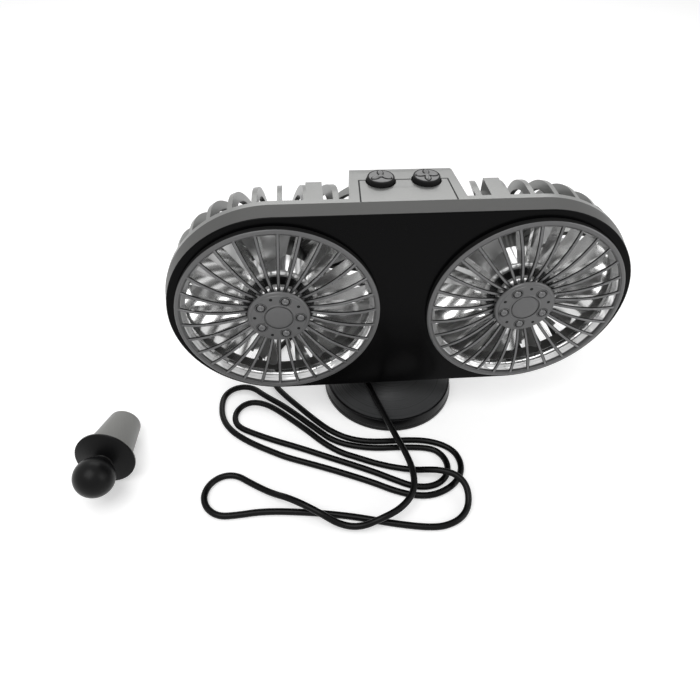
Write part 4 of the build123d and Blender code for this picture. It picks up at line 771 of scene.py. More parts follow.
class Look(Enum):
    """Finishes of the object's own pieces. Each becomes one material."""

    FRONT = FacedPlastic("front_moulding", (0.0018, 0.0018, 0.002), (0.105, 0.105, 0.103), 0.22, 0.36, 0.55)
    SILVER = CagePlastic(
        "silver_moulding", (0.212, 0.214, 0.209), 0.30, metallic=0.55, change=0.16, grain_depth=0.02
    )
    GRILLE = MouldedPlastic("grille_moulding", (0.118, 0.118, 0.119), 0.32, metallic=0.3, change=0.14)
    CREST = MouldedPlastic("grille_crest", (0.145, 0.145, 0.147), 0.26, metallic=0.45, change=0.14)
    SPOKE = Plating(
        "grille_flank_plating",
        (0.88, 0.88, 0.87),
        0.11,
        change=0.04,
        ripple=0.001,
        marks=0.1,
        metallic=0.92,
    )
    BUTTON = MouldedPlastic("button_moulding", (0.125, 0.125, 0.126), 0.34, metallic=0.25, change=0.14)
    # Near-black, used for painted shade in the spokes' lines, the hub's pockets and dots, round the button
    # signs and in the deck's seam, and as the black of the rim's outer wall and the button caps.
    GAP = MouldedPlastic("shadow_plastic", (0.006, 0.006, 0.006), 0.6, specular=0.2, change=0.2, marks=0.1)
    BLADE = Plating(
        "blade_plating", (0.74, 0.745, 0.74), 0.17, change=0.02, ripple=0.001, marks=0.08, metallic=0.7
    )
    CHROME = Plating("bright_plating", (0.84, 0.84, 0.85), 0.08, ripple=0.001)
    DOME = Plating(
        "cap_plating", (0.95, 0.95, 0.95), 0.14, change=0.02, ripple=0.001, marks=0.1, metallic=0.5
    )
    # Near-black painted shade on the face of the impeller's hub, round its cap.
    HUB = MouldedPlastic("impeller_hub_moulding", (0.012, 0.012, 0.0125), 0.4, specular=0.3)
    STEEL = Plating("plain_steel", (0.52, 0.52, 0.53), 0.30, change=0.14)
    BRONZE = Plating("sintered_bronze", (0.42, 0.28, 0.13), 0.45, change=0.25)
    BASE = TurnedPlastic(
        "base_moulding",
        (0.052, 0.053, 0.054),
        0.28,
        band=(0.0025, 0.0025, 0.0028),
        band_below=8.0,
        specular=0.16,
    )
    STUD = TurnedPlastic("stud_moulding", (0.003, 0.003, 0.0032), 0.34, specular=0.14)
    # The stud's tube, lighter than the rest of the same black moulding: painted light.
    TUBE = TurnedPlastic("stud_tube_moulding", (0.17, 0.17, 0.162), 0.42, specular=0.4)
    BALL = TurnedPlastic("ball_moulding", (0.004, 0.004, 0.0042), 0.30, specular=0.2)
    DARK = MouldedPlastic("dark_moulding", (0.02, 0.02, 0.021), 0.48, change=0.16, grain_depth=0.02)
    LINER = MouldedPlastic("liner_moulding", (0.46, 0.46, 0.43), 0.45, grain_depth=0.01)
    MOTOR_END = MouldedPlastic("motor_end_moulding", (0.60, 0.59, 0.54), 0.5)
    FERRITE = MouldedPlastic("magnet_ferrite", (0.05, 0.05, 0.052), 0.62, change=0.3, grain_depth=0.05)
    BOARD = MouldedPlastic("board_lacquer", (0.03, 0.13, 0.06), 0.3, change=0.1, lacquer=0.4)
    CORD = Rubber("cord_vinyl", (0.0016, 0.0016, 0.0017), 0.26, specular=0.13, dust=0.15)
    PLUG = Rubber("plug_vinyl", (0.014, 0.014, 0.015), 0.46)
    PAD = Foam("pad_foam", (0.035, 0.035, 0.036))
    WINDING = Laminated("laminated_winding", (0.35, 0.35, 0.36), (0.36, 0.14, 0.05))


class Paints:
    """All the materials of the object, made once from their finishes."""

    def __init__(self) -> None:
        """Make the shared groups and the materials."""
        effects = Effects()
        self.by_look = {look: look.value.make(effects) for look in Look}

    def __getitem__(self, look: Look) -> Material:
        """Material of a look."""
        return self.by_look[look]


# Repeats


class RepeatTree:
    """Tree that repeats a shape, gives it its material and makes it plain mesh."""

    def __init__(self, name: str, **extra: str) -> None:
        """Start the tree with its sockets, its row of points and the copies on them.

        Args:
            name: Name of the tree.
            extra: Further inputs by name, with their socket types.
        """
        self.tree = bpy.data.node_groups.new(name, "GeometryNodeTree")
        common = {"Shape": "NodeSocketGeometry", "Count": "NodeSocketInt"}
        for label, kind in {**common, **extra, "Finish": "NodeSocketMaterial"}.items():
            self.tree.interface.new_socket(name=label, in_out="INPUT", socket_type=kind)
        self.tree.interface.new_socket(name="Shape", in_out="OUTPUT", socket_type="NodeSocketGeometry")
        self.bench = Bench(self.tree)
        self.given = self.bench.node("NodeGroupInput").outputs
        self.points = self.bench.node("GeometryNodeMeshLine")
        self.bench.feed(self.given["Count"], self.points.inputs["Count"])
        self.copies = self.bench.node("GeometryNodeInstanceOnPoints")
        self.bench.feed(self.points.outputs[0], self.copies.inputs["Points"])
        self.bench.feed(self.given["Shape"], self.copies.inputs["Instance"])

    def finish(self, placed: Node) -> NodeTree:
        """Realize the copies, set their material and close the tree.

        Args:
            placed: Node that puts out the copies in their places.

        Returns:
            The finished tree.
        """
        solid = self.bench.node("GeometryNodeRealizeInstances")
        self.bench.feed(placed.outputs[0], solid.inputs[0])
        dressed = self.bench.node("GeometryNodeSetMaterial")
        self.bench.feed(solid.outputs[0], dressed.inputs["Geometry"])
        self.bench.feed(self.given["Finish"], dressed.inputs["Material"])
        self.bench.feed(dressed.outputs[0], self.bench.node("NodeGroupOutput").inputs[0])
        return self.tree


def ring_repeat() -> NodeTree:
    """Tree that repeats a shape round an axis along Y, from its own place above the axis.

    Returns:
        The tree, with inputs Shape, Count, Start, Centre and Finish.
    """
    repeat = RepeatTree("ring_repeat", Start="NodeSocketFloat", Centre="NodeSocketVector")
    bench, given = repeat.bench, repeat.given
    repeat.points.inputs["Offset"].default_value = (0.0, 0.0, 0.0)
    step = bench.math("DIVIDE", 2 * pi, given["Count"])
    turn = bench.math("MULTIPLY_ADD", bench.node("GeometryNodeInputIndex").outputs[0], step, given["Start"])
    turned = bench.node("ShaderNodeCombineXYZ")
    bench.feed(turn, turned.inputs["Y"])
    bench.feed(turned.outputs[0], repeat.copies.inputs["Rotation"])
    moved = bench.node("GeometryNodeTransform")
    bench.feed(repeat.copies.outputs[0], moved.inputs["Geometry"])
    bench.feed(given["Centre"], moved.inputs["Translation"])
    return repeat.finish(moved)


def row_repeat() -> NodeTree:
    """Tree that repeats a shape in a straight row.

    Returns:
        The tree, with inputs Shape, Count, Pitch and Finish.
    """
    repeat = RepeatTree("row_repeat", Pitch="NodeSocketVector")
    repeat.bench.feed(repeat.given["Pitch"], repeat.points.inputs["Offset"])
    return repeat.finish(repeat.copies)


# Meshes


# Least distances: below the first (m) points are one, below the second (mm) a point is on the axis.
SAME_SPOT = 1e-7
ON_AXIS = 1e-6


def object_from(shape: bmesh.types.BMesh, name: str) -> Object:
    """Turn an edited mesh into an object in the scene.

    Args:
        shape: The mesh, which is freed.
        name: Name of the object and its mesh.

    Returns:
        The new object, at the origin.
    """
    bmesh.ops.remove_doubles(shape, verts=shape.verts, dist=SAME_SPOT)
    bmesh.ops.recalc_face_normals(shape, faces=shape.faces)
    mesh = bpy.data.meshes.new(name)
    shape.to_mesh(mesh)
    shape.free()
    made = bpy.data.objects.new(name, mesh)
    bpy.context.scene.collection.objects.link(made)
    return made


def applied(made: Object) -> None:
    """Turn an object's modifiers into plain mesh.

    Args:
        made: The object.
    """
    depsgraph = bpy.context.evaluated_depsgraph_get()
    depsgraph.update()
    mesh = bpy.data.meshes.new_from_object(
        made.evaluated_get(depsgraph), preserve_all_data_layers=True, depsgraph=depsgraph
    )
    made.modifiers.clear()
    made.data = mesh


def shaded(made: Object, crease: float = 35.0) -> None:
    """Smooth a mesh, with sharp edges where it turns by more than the crease, in degrees."""
    made.data.shade_smooth()
    made.data.set_sharp_from_angle(angle=radians(crease))


def rounded(profile: Profile, steps: int = 5) -> list[Vector]:
    """Round the corners of a profile.

    Args:
        profile: Corners as (radius, distance, rounding), in mm.
        steps: Points in each rounded corner.

    Returns:
        The points of the rounded profile.
    """
    points: list[Vector] = []
    last = len(profile) - 1
    for index, (across, along, rounding) in enumerate(profile):
        corner = Vector((across, along))
        if rounding <= 0 or index in (0, last):
            points.append(corner)
            continue
        before = Vector(profile[index - 1][:2]) - corner
        after = Vector(profile[index + 1][:2]) - corner
        reach = min(rounding, 0.48 * before.length, 0.48 * after.length)
        start, end = corner + before.normalized() * reach, corner + after.normalized() * reach
        for step in range(steps + 1):
            t = step / steps
            points.append(start * (1 - t) ** 2 + corner * 2 * t * (1 - t) + end * t**2)
    return points


def lathe(
    name: str,
    profile: Profile,
    origin: Sequence[float],
    axis: Sequence[float],
    segments: int = 96,
    closed: bool = False,
) -> Object:
    """Turn a profile round an axis.

    Args:
        name: Name of the piece.
        profile: Corners as (radius, distance along the axis, rounding), in mm.
        origin: Start of the axis, in mm.
        axis: Direction of the axis.
        segments: Steps round the axis.
        closed: Whether the profile's last point joins its first.

    Returns:
        The turned piece.
    """
    along = Vector(axis).normalized()
    across = along.orthogonal().normalized()
    beside = along.cross(across)
    points = rounded(list(profile) + ([profile[0]] if closed else []))
    if closed:
        points = points[:-1]
    turns = [2 * pi * k / segments for k in range(segments)]
    circle = [across * cos(turn) + beside * sin(turn) for turn in turns]
    shape = bmesh.new()
    rows: list[list[bmesh.types.BMVert]] = []
    for radius, distance in points:
        centre = Vector(origin) + along * distance
        spots = [centre] if abs(radius) < ON_AXIS else [centre + way * radius for way in circle]
        rows.append([shape.verts.new(spot * MM) for spot in spots])
    pairs = list(zip(rows, rows[1:])) + ([(rows[-1], rows[0])] if closed else [])
    for first, second in pairs:
        for k in range(segments):
            following = (k + 1) % segments
            if len(first) == 1 and len(second) == 1:
                break
            if len(first) == 1:
                shape.faces.new((first[0], second[following], second[k]))
            elif len(second) == 1:
                shape.faces.new((first[k], first[following], second[0]))
            else:
                shape.faces.new((first[k], first[following], second[following], second[k]))
    made = object_from(shape, name)
    shaded(made, 30.0)
    return made


def swept(name: str, sections: Sequence[Sequence[Vector]]) -> Object:
    """Skin a closed tube over a row of like sections, with flat ends.

    Args:
        name: Name of the piece.
        sections: Rings of points, in mm, all with the same count.

    Returns:
        The skinned piece.
    """
    shape = bmesh.new()
    rings = [[shape.verts.new(point * MM) for point in section] for section in sections]
    count = len(rings[0])
    for first, second in zip(rings, rings[1:]):
        for k in range(count):
            following = (k + 1) % count
            shape.faces.new((first[k], first[following], second[following], second[k]))
    shape.faces.new(rings[0])
    shape.faces.new(rings[-1])
    return object_from(shape, name)


def plate(name: str, outline: Sequence[Vector], low: float, high: float, edge: float) -> Object:
    """Flat plate that lies level, with a slope round its upper edge.

    Args:
        name: Name of the piece.
        outline: Points round the plate, in mm.
        low: Height of its underside.
        high: Height of its top.
        edge: Width of the sloping edge.

    Returns:
        The plate.
    """
    centre = sum(outline, Vector((0.0, 0.0))) / len(outline)
    arms = [point - centre for point in outline]
    inner = [centre + arm * max(0.0, 1 - edge / arm.length) for arm in arms]
    rings = [
        [Vector((*point, height)) for point in points]
        for points, height in ((outline, low), (outline, high - edge), (inner, high))
    ]
    made = swept(name, rings)
    shaded(made, 50.0)
    return made


class Workshop:
    """Holds the frame, the materials and the trees, and hands finished pieces over."""

    # Corners of a CAD node closer than this (m) are one, and faces that differ by less (degrees) are one.
    SAME_CORNER = 2e-6
    SAME_FACE = 0.6

    def __init__(self, frame: dict) -> None:
        """Take over the frame's nodes, and make the materials and the trees.

        Args:
            frame: The loaded frame, with its CAD nodes by name.
        """
        self.nodes: dict[str, Object] = frame["nodes"]
        self.paints = Paints()
        self.ring = ring_repeat()
        self.row = row_repeat()
        self.dressed: set[str] = set()
        self.count = 0

    def deliver(
        self,
        made: Object,
        body: Body,
        look: Look,
        replaces: Iterable[str] = (),
    ) -> Object:
        """Give a piece its material, its body and the nodes that it stands for.

        Args:
            made: The piece.
            body: The body that it rides on.
            look: Its finish.
            replaces: CAD nodes that it stands for.

        Returns:
            The same piece.
        """
        made.data.materials.clear()
        made.data.materials.append(self.paints[look])
        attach(made, body.value)
        if replaces:
            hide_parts(*replaces)
            self.dressed.update(replaces)
        self.count += 1
        faces = len(made.data.polygons) if made.type == "MESH" else 0
        LOG.info("%s: %d faces on %s, %s", made.name, faces, body.value, look.name.lower())
        return made

    def repeat(self, made: Object, tree: NodeTree, look: Look, inputs: dict[str, object]) -> Object:
        """Repeat a piece's mesh with a tree, and make the result plain mesh.

        Args:
            made: Piece whose mesh is the shape to repeat.
            tree: The tree.
            look: The finish that it sets.
            inputs: The tree's inputs by name.

        Returns:
            The same object with the repeated mesh.
        """
        modifier = made.modifiers.new("repeat", "NODES")
        modifier.node_group = tree
        identifiers = {
            item.name: item.identifier
            for item in tree.interface.items_tree
            if item.item_type == "SOCKET" and item.in_out == "INPUT"
        }
        for label, value in {**inputs, "Finish": self.paints[look]}.items():
            modifier[identifiers[label]] = value
        applied(made)
        return made

    def refined(self, node: str, bevel: float, crease: float = 30.0) -> Object:
        """Copy a CAD node with merged faces and small rounded edges.

        Args:
            node: Name of the CAD node.
            bevel: Width of the rounded edges in mm.
            crease: Least angle of an edge that is rounded, in degrees.

        Returns:
            The copy, as plain mesh.
        """
        shape = bmesh.new()
        shape.from_mesh(self.nodes[node].data)
        bmesh.ops.remove_doubles(shape, verts=shape.verts, dist=self.SAME_CORNER)
        bmesh.ops.dissolve_limit(
            shape,
            angle_limit=radians(self.SAME_FACE),
            verts=shape.verts,
            edges=shape.edges,
            use_dissolve_boundaries=False,
        )
        # A merged face with holes in it would be filled in wrongly once its edges are rounded.
        bmesh.ops.triangulate(shape, faces=[face for face in shape.faces if len(face.verts) > 4])
        made = object_from(shape, f"{node}_skin")
        rounder = made.modifiers.new("rounder", "BEVEL")
        rounder.width = bevel * MM
        rounder.segments = 2
        rounder.limit_method = "ANGLE"
        rounder.angle_limit = radians(crease)
        rounder.use_clamp_overlap = True
        rounder.miter_outer = "MITER_ARC"
        applied(made)
        shaded(made, crease)
        even = made.modifiers.new("even", "WEIGHTED_NORMAL")
        even.keep_sharp = True
        applied(made)
        return made

    def dress(self, look: Look, *nodes: str) -> None:
        """Give CAD nodes that stay a better material.

        Args:
            look: Their finish.
            nodes: Names of the nodes.
        """
        for node in nodes:
            mesh = self.nodes[node].data
            mesh.materials.clear()
            mesh.materials.append(self.paints[look])
            self.dressed.add(node)


class Maker(Protocol):
    """A sub-assembly of the object."""

    def build(self, shop: Workshop) -> None:
        """Make the sub-assembly's pieces and hand them over."""


# The head


def along_fan(side: Side) -> Axis:
    """Start and direction of a fan's axis, from the front plate backwards, in mm."""
    return (side.axis_x, FRONT_Y, HEAD_Z), BACKWARDS


def fan_centre(side: Side) -> tuple[float, ...]:
    """Place that a ring of copies is moved to, in metres."""
    return tuple(v * MM for v in (side.axis_x, 0.0, HEAD_Z))


def turned(stem: str, side: Side, profile: Profile, segments: int, closed: bool = False) -> Object:
    """Turn a profile round a fan's axis.

    Args:
        stem: Name of the piece without its side.
        side: The fan's side.
        profile: Corners as (radius, depth behind the front plate, rounding), in mm.
        segments: Steps round the axis.
        closed: Whether the profile's last point joins its first.

    Returns:
        The turned piece.
    """
    return lathe(f"{stem}_{side.label}", profile, *along_fan(side), segments=segments, closed=closed)


class SpokePart(Enum):
    """What a grille spoke is made of: bright flanks, a near-black line of painted shade on each and a grey
    crest.
    """

    FLANK = "flank"
    GROOVE = "groove"
    CREST = "crest"


@dataclass
class Grille:
    """Wheel-like grille: rim, bowed spokes and a hub with lugs."""

    side: Side
    lug_turn: float
    spoke_turn: float
    rim_r: float = 46.0
    rim_width: float = 2.6
    proud: float = 3.0
    seat: float = 2.4
    bevel_front: float = -1.0
    bevel_depth: float = 1.8
    spoke_foot_in: float = 2.6
    spokes: int = 30
    spoke_half: float = 0.75
    spoke_crest: float = 0.54
    spoke_step: float = 0.4
    groove_depth: float = 0.45
    spoke_backs: tuple[tuple[float, float], ...] = (
        (11.6, 0.9),
        (20.5, 3.3),
        (22.0, 4.4),
        (42.3, 4.4),
        (42.35, 2.2),
    )
    spoke_stations: int = 26
    spoke_sink: float = 0.3
    bow: float = 1.3
    bend_r: float = 20.5
    dip: float = 3.0
    hub_r: float = 14.2
    hub_lip: float = 1.4
    hub_taper: float = 2.8
    cap_r: float = 6.5
    lugs: int = 5
    lug_r: float = 2.0
    lug_circle: float = 9.8
    dot_circle: float = 10.9
    dot_r: float = 0.8
    pocket_r: float = 2.72

    def spoke_depth(self, radius: float) -> float:
        """Depth of a spoke's crest at a radius: bowed outside the bend, sloping inside it.

        Args:
            radius: Distance from the fan's axis, in mm.

        Returns:
            Depth behind the front plate, in mm.
        """
        start = -self.proud + self.spoke_sink
        if radius <= self.bend_r:
            share = (self.bend_r - radius) / (self.bend_r - self.hub_r + self.spoke_foot_in)
            return start + share * (self.dip - self.spoke_sink)
        middle = (self.bend_r + self.rim_r - self.rim_width / 2) / 2
        half = middle - self.bend_r
        return start - (self.bow + self.spoke_sink) * max(0.0, 1 - ((radius - middle) / half) ** 2)

    def spoke_back(self, radius: float) -> float:
        """Depth of a spoke's back edge at a radius, deepest over the blades.

        Args:
            radius: Distance from the fan's axis, in mm.

        Returns:
            Depth behind the front plate, in mm.
        """
        for (near, first), (far, second) in zip(self.spoke_backs, self.spoke_backs[1:]):
            if radius <= far:
                return first + (second - first) * (radius - near) / (far - near)
        return self.spoke_backs[-1][1]

    def spoke(self, name: str, part: SpokePart) -> Object:
        """One part of one spoke, standing above the axis.

        Args:
            name: Name of the piece.
            part: Which part it is.

        Returns:
            The part.
        """
        inner, outer = self.hub_r - self.spoke_foot_in, self.rim_r - self.rim_width / 2
        half, crest, step_down = self.spoke_half, self.spoke_crest, self.spoke_step
        foot = 0.7 * half
        if part is SpokePart.CREST:
            right = [(crest - 0.13, 0.0), (crest, 0.13), (crest + 0.03, step_down + 0.2)]
        elif part is SpokePart.GROOVE:
            # A thin near-black strip along each side of the crest: painted shade.
            right = [(half + 0.01, step_down - 0.02), (half + 0.02, step_down + self.groove_depth)]
        else:
            right = [(half - 0.12, step_down), (half, step_down + 0.12), (half, 1.4)]
        sections = []
        for step in range(self.spoke_stations + 1):
            radius = inner + (outer - inner) * step / self.spoke_stations
            depth = self.spoke_depth(radius)
            foot_down = [(foot, self.spoke_back(radius) - depth)] if part is SpokePart.FLANK else []
            edge = right + foot_down
            section = [(-across, down) for across, down in reversed(edge)] + edge
            sections.append([Vector((across, FRONT_Y + depth + down, radius)) for across, down in section])
        return swept(name, sections)

    def rim(self) -> Object:
        """Rim of the grille, with a rounded front and a small inner step.

        Returns:
            The rim.
        """
        outer, inner = self.rim_r, self.rim_r - self.rim_width
        profile = (
            (outer - 0.05, self.seat, 0.0),
            (outer - 0.05, -self.proud + 0.35, 0.1),
            (outer - 0.5, -self.proud, 0.25),
            (inner + 0.75, -self.proud, 0.1),
            (inner + 0.62, -self.proud + 0.35, 0.05),
            (inner + 0.4, -self.proud + 0.35, 0.05),
            (inner + 0.3, -self.proud + 0.05, 0.05),
            (inner, -self.proud + 0.3, 0.2),
            (inner, self.seat, 0.0),
        )
        return turned("grille_rim", self.side, profile, 144, closed=True)

    def rim_wall(self) -> Object:
        """Dark outer wall of the rim, which stands in front of the head's face.

        Returns:
            The wall.
        """
        outer = self.rim_r
        profile = (
            (outer, self.seat - 0.4, 0.0),
            (outer, -self.proud + 0.55, 0.1),
            (outer - 0.1, -self.proud + 0.42, 0.02),
            (outer - 0.12, self.seat - 0.4, 0.0),
        )
        return turned("grille_rim_wall", self.side, profile, 144, closed=True)

    def bevel(self) -> Object:
        """Bright bevel inside the rim, stepped once across its slope.

        Returns:
            The bevel.
        """
        outer, front, deep = self.rim_r - self.rim_width, self.bevel_front, self.bevel_depth
        profile = (
            (outer + 0.4, front - 0.1, 0.0),
            (outer - 0.05, front - 0.1, 0.1),
            (outer - 0.5 * deep, front + 0.45 * deep, 0.05),
            (outer - 0.5 * deep, front + 0.55 * deep, 0.05),
            (outer - deep, front + deep, 0.2),
            (outer - deep, front + deep + 0.5, 0.2),
            (outer + 0.4, front + deep + 0.5, 0.0),
        )
        return turned("grille_bevel", self.side, profile, 144, closed=True)

    def hub(self) -> Object:
        """Hub disc with a raised ring round its centre and a stepped edge.

        Returns:
            The hub.
        """
        face, back = -self.proud, -self.proud + self.hub_lip + self.hub_taper
        profile = (
            (0.0, face + 0.55, 0.0),
            (self.cap_r + 0.1, face + 0.55, 0.1),
            (self.cap_r + 0.22, face - 0.2, 0.12),
            (self.cap_r + 0.75, face - 0.22, 0.2),
            (self.cap_r + 0.95, face, 0.1),
            (self.hub_r - 1.75, face, 0.2),
            (self.hub_r - 1.6, face + 0.3, 0.1),
            (self.hub_r - 0.5, face + 0.32, 0.3),
            (self.hub_r, face + 0.9, 0.4),
            (self.hub_r, face + self.hub_lip, 0.3),
            (self.hub_r - self.hub_taper, back, 0.3),
            (0.0, back, 0.0),
        )
        return turned("grille_hub", self.side, profile, 96)

    def centre(self) -> Object:
        """Slightly domed disc in the middle of the hub.

        Returns:
            The disc.
        """
        face = -self.proud
        profile = (
            (0.0, face - 0.28, 0.0),
            (self.cap_r - 2.0, face - 0.2, 2.0),
            (self.cap_r - 0.5, face - 0.02, 0.3),
            (self.cap_r - 0.3, face + 0.25, 0.1),
            (self.cap_r - 0.3, face + 0.7, 0.0),
            (0.0, face + 0.7, 0.0),
        )
        return turned("grille_centre", self.side, profile, 72)

    def lug(self, name: str) -> Object:
        """One domed nut above the axis.

        Args:
            name: Name of the piece.

        Returns:
            The nut.
        """
        face = -self.proud
        profile = (
            (0.0, face - 0.42, 0.0),
            (0.45, face - 0.42, 0.1),
            (0.6, face - 0.66, 0.12),
            (self.lug_r - 0.55, face - 0.58, 0.35),
            (self.lug_r - 0.25, face - 0.05, 0.1),
            (self.lug_r - 0.2, face + 0.3, 0.0),
            (0.0, face + 0.3, 0.0),
        )
        return lathe(name, profile, (0.0, FRONT_Y, self.lug_circle), BACKWARDS, segments=28)

    def collar(self, name: str) -> Object:
        """Raised collar round one nut, above the axis.

        Args:
            name: Name of the piece.

        Returns:
            The collar.
        """
        face = -self.proud
        profile = (
            (self.lug_r + 0.12, face + 0.3, 0.0),
            (self.lug_r + 0.2, face - 0.26, 0.1),
            (self.lug_r + 0.42, face - 0.26, 0.1),
            (self.lug_r + 0.62, face + 0.3, 0.0),
        )
        return lathe(name, profile, (0.0, FRONT_Y, self.lug_circle), BACKWARDS, segments=28, closed=True)

    def shadow(self, name: str, radius: float, circle: float) -> Object:
        """Dark floor of a pocket in the hub's face, above the axis.

        Args:
            name: Name of the piece.
            radius: The pocket's radius, in mm.
            circle: Its distance from the fan's axis, in mm.

        Returns:
            The disc.
        """
        face = -self.proud
        profile = (
            (0.0, face - 0.03, 0.0),
            (radius - 0.05, face - 0.03, 0.0),
            (radius, face + 0.2, 0.0),
            (0.0, face + 0.2, 0.0),
        )
        return lathe(name, profile, (0.0, FRONT_Y, circle), BACKWARDS, segments=24)

    def build(self, shop: Workshop) -> None:
        """Make the grille's pieces and hand them over.

        Args:
            shop: The workshop.
        """
        label = self.side.label
        nodes = [f"grille_{label}"]
        between = self.lug_turn + 180 / self.lugs
        shop.deliver(self.rim(), Body.HEAD, Look.GRILLE, nodes)
        shop.deliver(self.rim_wall(), Body.HEAD, Look.GAP, nodes)
        shop.deliver(self.bevel(), Body.HEAD, Look.DOME, nodes)
        shop.deliver(self.hub(), Body.HEAD, Look.GRILLE, nodes)
        shop.deliver(self.centre(), Body.HEAD, Look.GRILLE, nodes)
        flanks = self.spoke(f"grille_flanks_{label}", SpokePart.FLANK)
        shade_lines = self.spoke(f"grille_grooves_{label}", SpokePart.GROOVE)
        crests = self.spoke(f"grille_crests_{label}", SpokePart.CREST)
        lugs, collars = self.lug(f"grille_lugs_{label}"), self.collar(f"grille_collars_{label}")
        pockets = self.shadow(f"grille_pockets_{label}", self.pocket_r, self.lug_circle)
        dots = self.shadow(f"grille_dots_{label}", self.dot_r, self.dot_circle)
        rows = (
            (flanks, Look.SPOKE, self.spokes, self.spoke_turn),
            (shade_lines, Look.GAP, self.spokes, self.spoke_turn),
            (crests, Look.CREST, self.spokes, self.spoke_turn),
            (lugs, Look.CREST, self.lugs, self.lug_turn),
            (collars, Look.GRILLE, self.lugs, self.lug_turn),
            (pockets, Look.GAP, self.lugs, self.lug_turn),
            (dots, Look.GAP, self.lugs, between),
        )
        for made, look, count, turn in rows:
            inputs = {"Count": count, "Start": radians(turn), "Centre": fan_centre(self.side)}
            shop.repeat(made, shop.ring, look, inputs)
            shaded(made, 40.0)
            shop.deliver(made, Body.HEAD, look, nodes)


@dataclass
class Impeller:
    """Seven plated blades on a hub, with a bright cap."""

    side: Side
    blade_turn: float
    blades: int = 7
    root_r: float = 17.5
    tip_r: float = 41.8
    root_chord: float = 13.0
    tip_chord: float = 30.0
    root_pitch: float = 45.0
    tip_pitch: float = 28.0
    root_camber: float = 1.6
    tip_camber: float = 2.0
    thick: float = 1.2
    middle: float = 13.6
    corner: float = 5.0
    hub_r: float = 19.0
    front: float = 6.0
    back: float = 20.0
    wall: float = 1.6
    cap_r: float = 12.2
    cap_thick: float = 3.4
    dark_r: float = 16.6
    post_r: float = 3.6
    bore_r: float = 1.0
    bore_front: float = 8.2
    stations: int = 22
    chords: int = 20

    def spot(self, radius: float, along: float, lift: float) -> Vector:
        """Place of a point of the blade that stands above the axis.

        Args:
            radius: Distance from the axis, in mm.
            along: Place along the chord, from -1 to 1.
            lift: Height above the chord's curve, in mm.

        Returns:
            The point in mm, with the axis at x and z zero.
        """
        share = (radius - self.root_r) / (self.tip_r - self.root_r)
        chord = self.root_chord + share * (self.tip_chord - self.root_chord)
        into = max(0.0, radius - (self.tip_r - self.corner)) / self.corner
        chord -= 2 * self.corner * (1 - sqrt(max(0.0, 1 - into**2)))
        pitch = radians(self.root_pitch + share * (self.tip_pitch - self.root_pitch))
        camber = self.root_camber + share * (self.tip_camber - self.root_camber)
        run = along * chord / 2
        rise = camber * (1 - along**2) + lift
        turn = (run * cos(pitch) - rise * sin(pitch)) / radius
        depth = self.middle + run * sin(pitch) + rise * cos(pitch)
        return Vector((radius * sin(turn), FRONT_Y + depth, radius * cos(turn)))

    def blade(self, name: str) -> Object:
        """One cambered blade with thinned edges, standing above the axis.

        Args:
            name: Name of the piece.

        Returns:
            The blade.
        """
        chords = self.chords
        sections = []
        for step in range(self.stations + 1):
            share = step / self.stations
            radius = self.root_r + (self.tip_r - 0.02 - self.root_r) * (1 - (1 - share) ** 1.6)
            ring = []
            for k in range(2 * chords):
                along = -cos(pi * k / chords) if k <= chords else cos(pi * (k - chords) / chords)
                bulge = self.thick * sqrt(max(0.0, 1 - along**4)) if 0 < k < chords else 0.0
                lift = bulge if k < chords else 0.0
                ring.append(self.spot(radius, along, lift))
            sections.append(ring)
        return swept(name, sections)

    def build(self, shop: Workshop) -> None:
        """Make the impeller's pieces and hand them over.

        Args:
            shop: The workshop.
        """
        label = self.side.label
        body = Body.fan(self.side)
        node = f"impeller_{label}"
        blades = self.blade(f"impeller_blades_{label}")
        inputs = {"Count": self.blades, "Start": radians(self.blade_turn), "Centre": fan_centre(self.side)}
        shop.repeat(blades, shop.ring, Look.BLADE, inputs)
        shaded(blades, 45.0)
        shop.deliver(blades, body, Look.BLADE, [node])
        profile = (
            (0.0, self.front, 0.0),
            (self.hub_r, self.front, 1.6),
            (self.hub_r, self.back, 0.4),
            (self.hub_r - self.wall, self.back, 0.4),
            (self.hub_r - self.wall, self.front + self.wall, 0.8),
            (self.post_r, self.front + self.wall, 0.4),
            (self.post_r, self.back, 0.3),
            (self.bore_r, self.back, 0.0),
            (self.bore_r, self.bore_front, 0.0),
            (0.0, self.bore_front, 0.0),
        )
        hub = turned("impeller_hub", self.side, profile, 96)
        shop.deliver(hub, body, Look.BLADE, [node])
        # A near-black disc over the hub's face, round the cap: painted shade on a hub of blade plating.
        disc = (
            (0.0, self.front - 0.08, 0.0),
            (self.dark_r - 0.1, self.front - 0.08, 0.05),
            (self.dark_r, self.front + 0.3, 0.0),
            (0.0, self.front + 0.3, 0.0),
        )
        face = turned("impeller_face", self.side, disc, 96)
        shop.deliver(face, body, Look.HUB, [node])
        dome = (
            (0.0, self.front - self.cap_thick, 0.0),
            (self.cap_r - 2.6, self.front - self.cap_thick + 0.1, 2.5),
            (self.cap_r - 0.5, self.front - self.cap_thick + 1.5, 1.8),
            (self.cap_r, self.front - 0.2, 0.5),
            (self.cap_r, self.front + 0.1, 0.0),
            (0.0, self.front + 0.1, 0.0),
        )
        cap = turned("hub_cap_dome", self.side, dome, 96)
        shop.deliver(cap, body, Look.DOME, [f"hub_cap_{label}"])


@dataclass
class DuctRing:
    """Bright ring just inside an air duct."""

    side: Side
    outer_r: float = 44.15
    inner_r: float = 42.9
    front: float = 3.2
    back: float = 6.4
    slope: float = 0.9

    def build(self, shop: Workshop) -> None:
        """Make the ring and hand it over.

        Args:
            shop: The workshop.
        """
        label = self.side.label
        profile = (
            (self.outer_r, self.front, 0.1),
            (self.outer_r, self.back, 0.1),
            (self.inner_r, self.back, 0.3),
            (self.inner_r, self.front + self.slope, 0.6),
            (self.inner_r + self.slope, self.front, 0.3),
        )
        made = turned("duct_ring_bright", self.side, profile, 144, closed=True)
        shop.deliver(made, Body.HEAD, Look.CHROME, [f"duct_ring_{label}"])


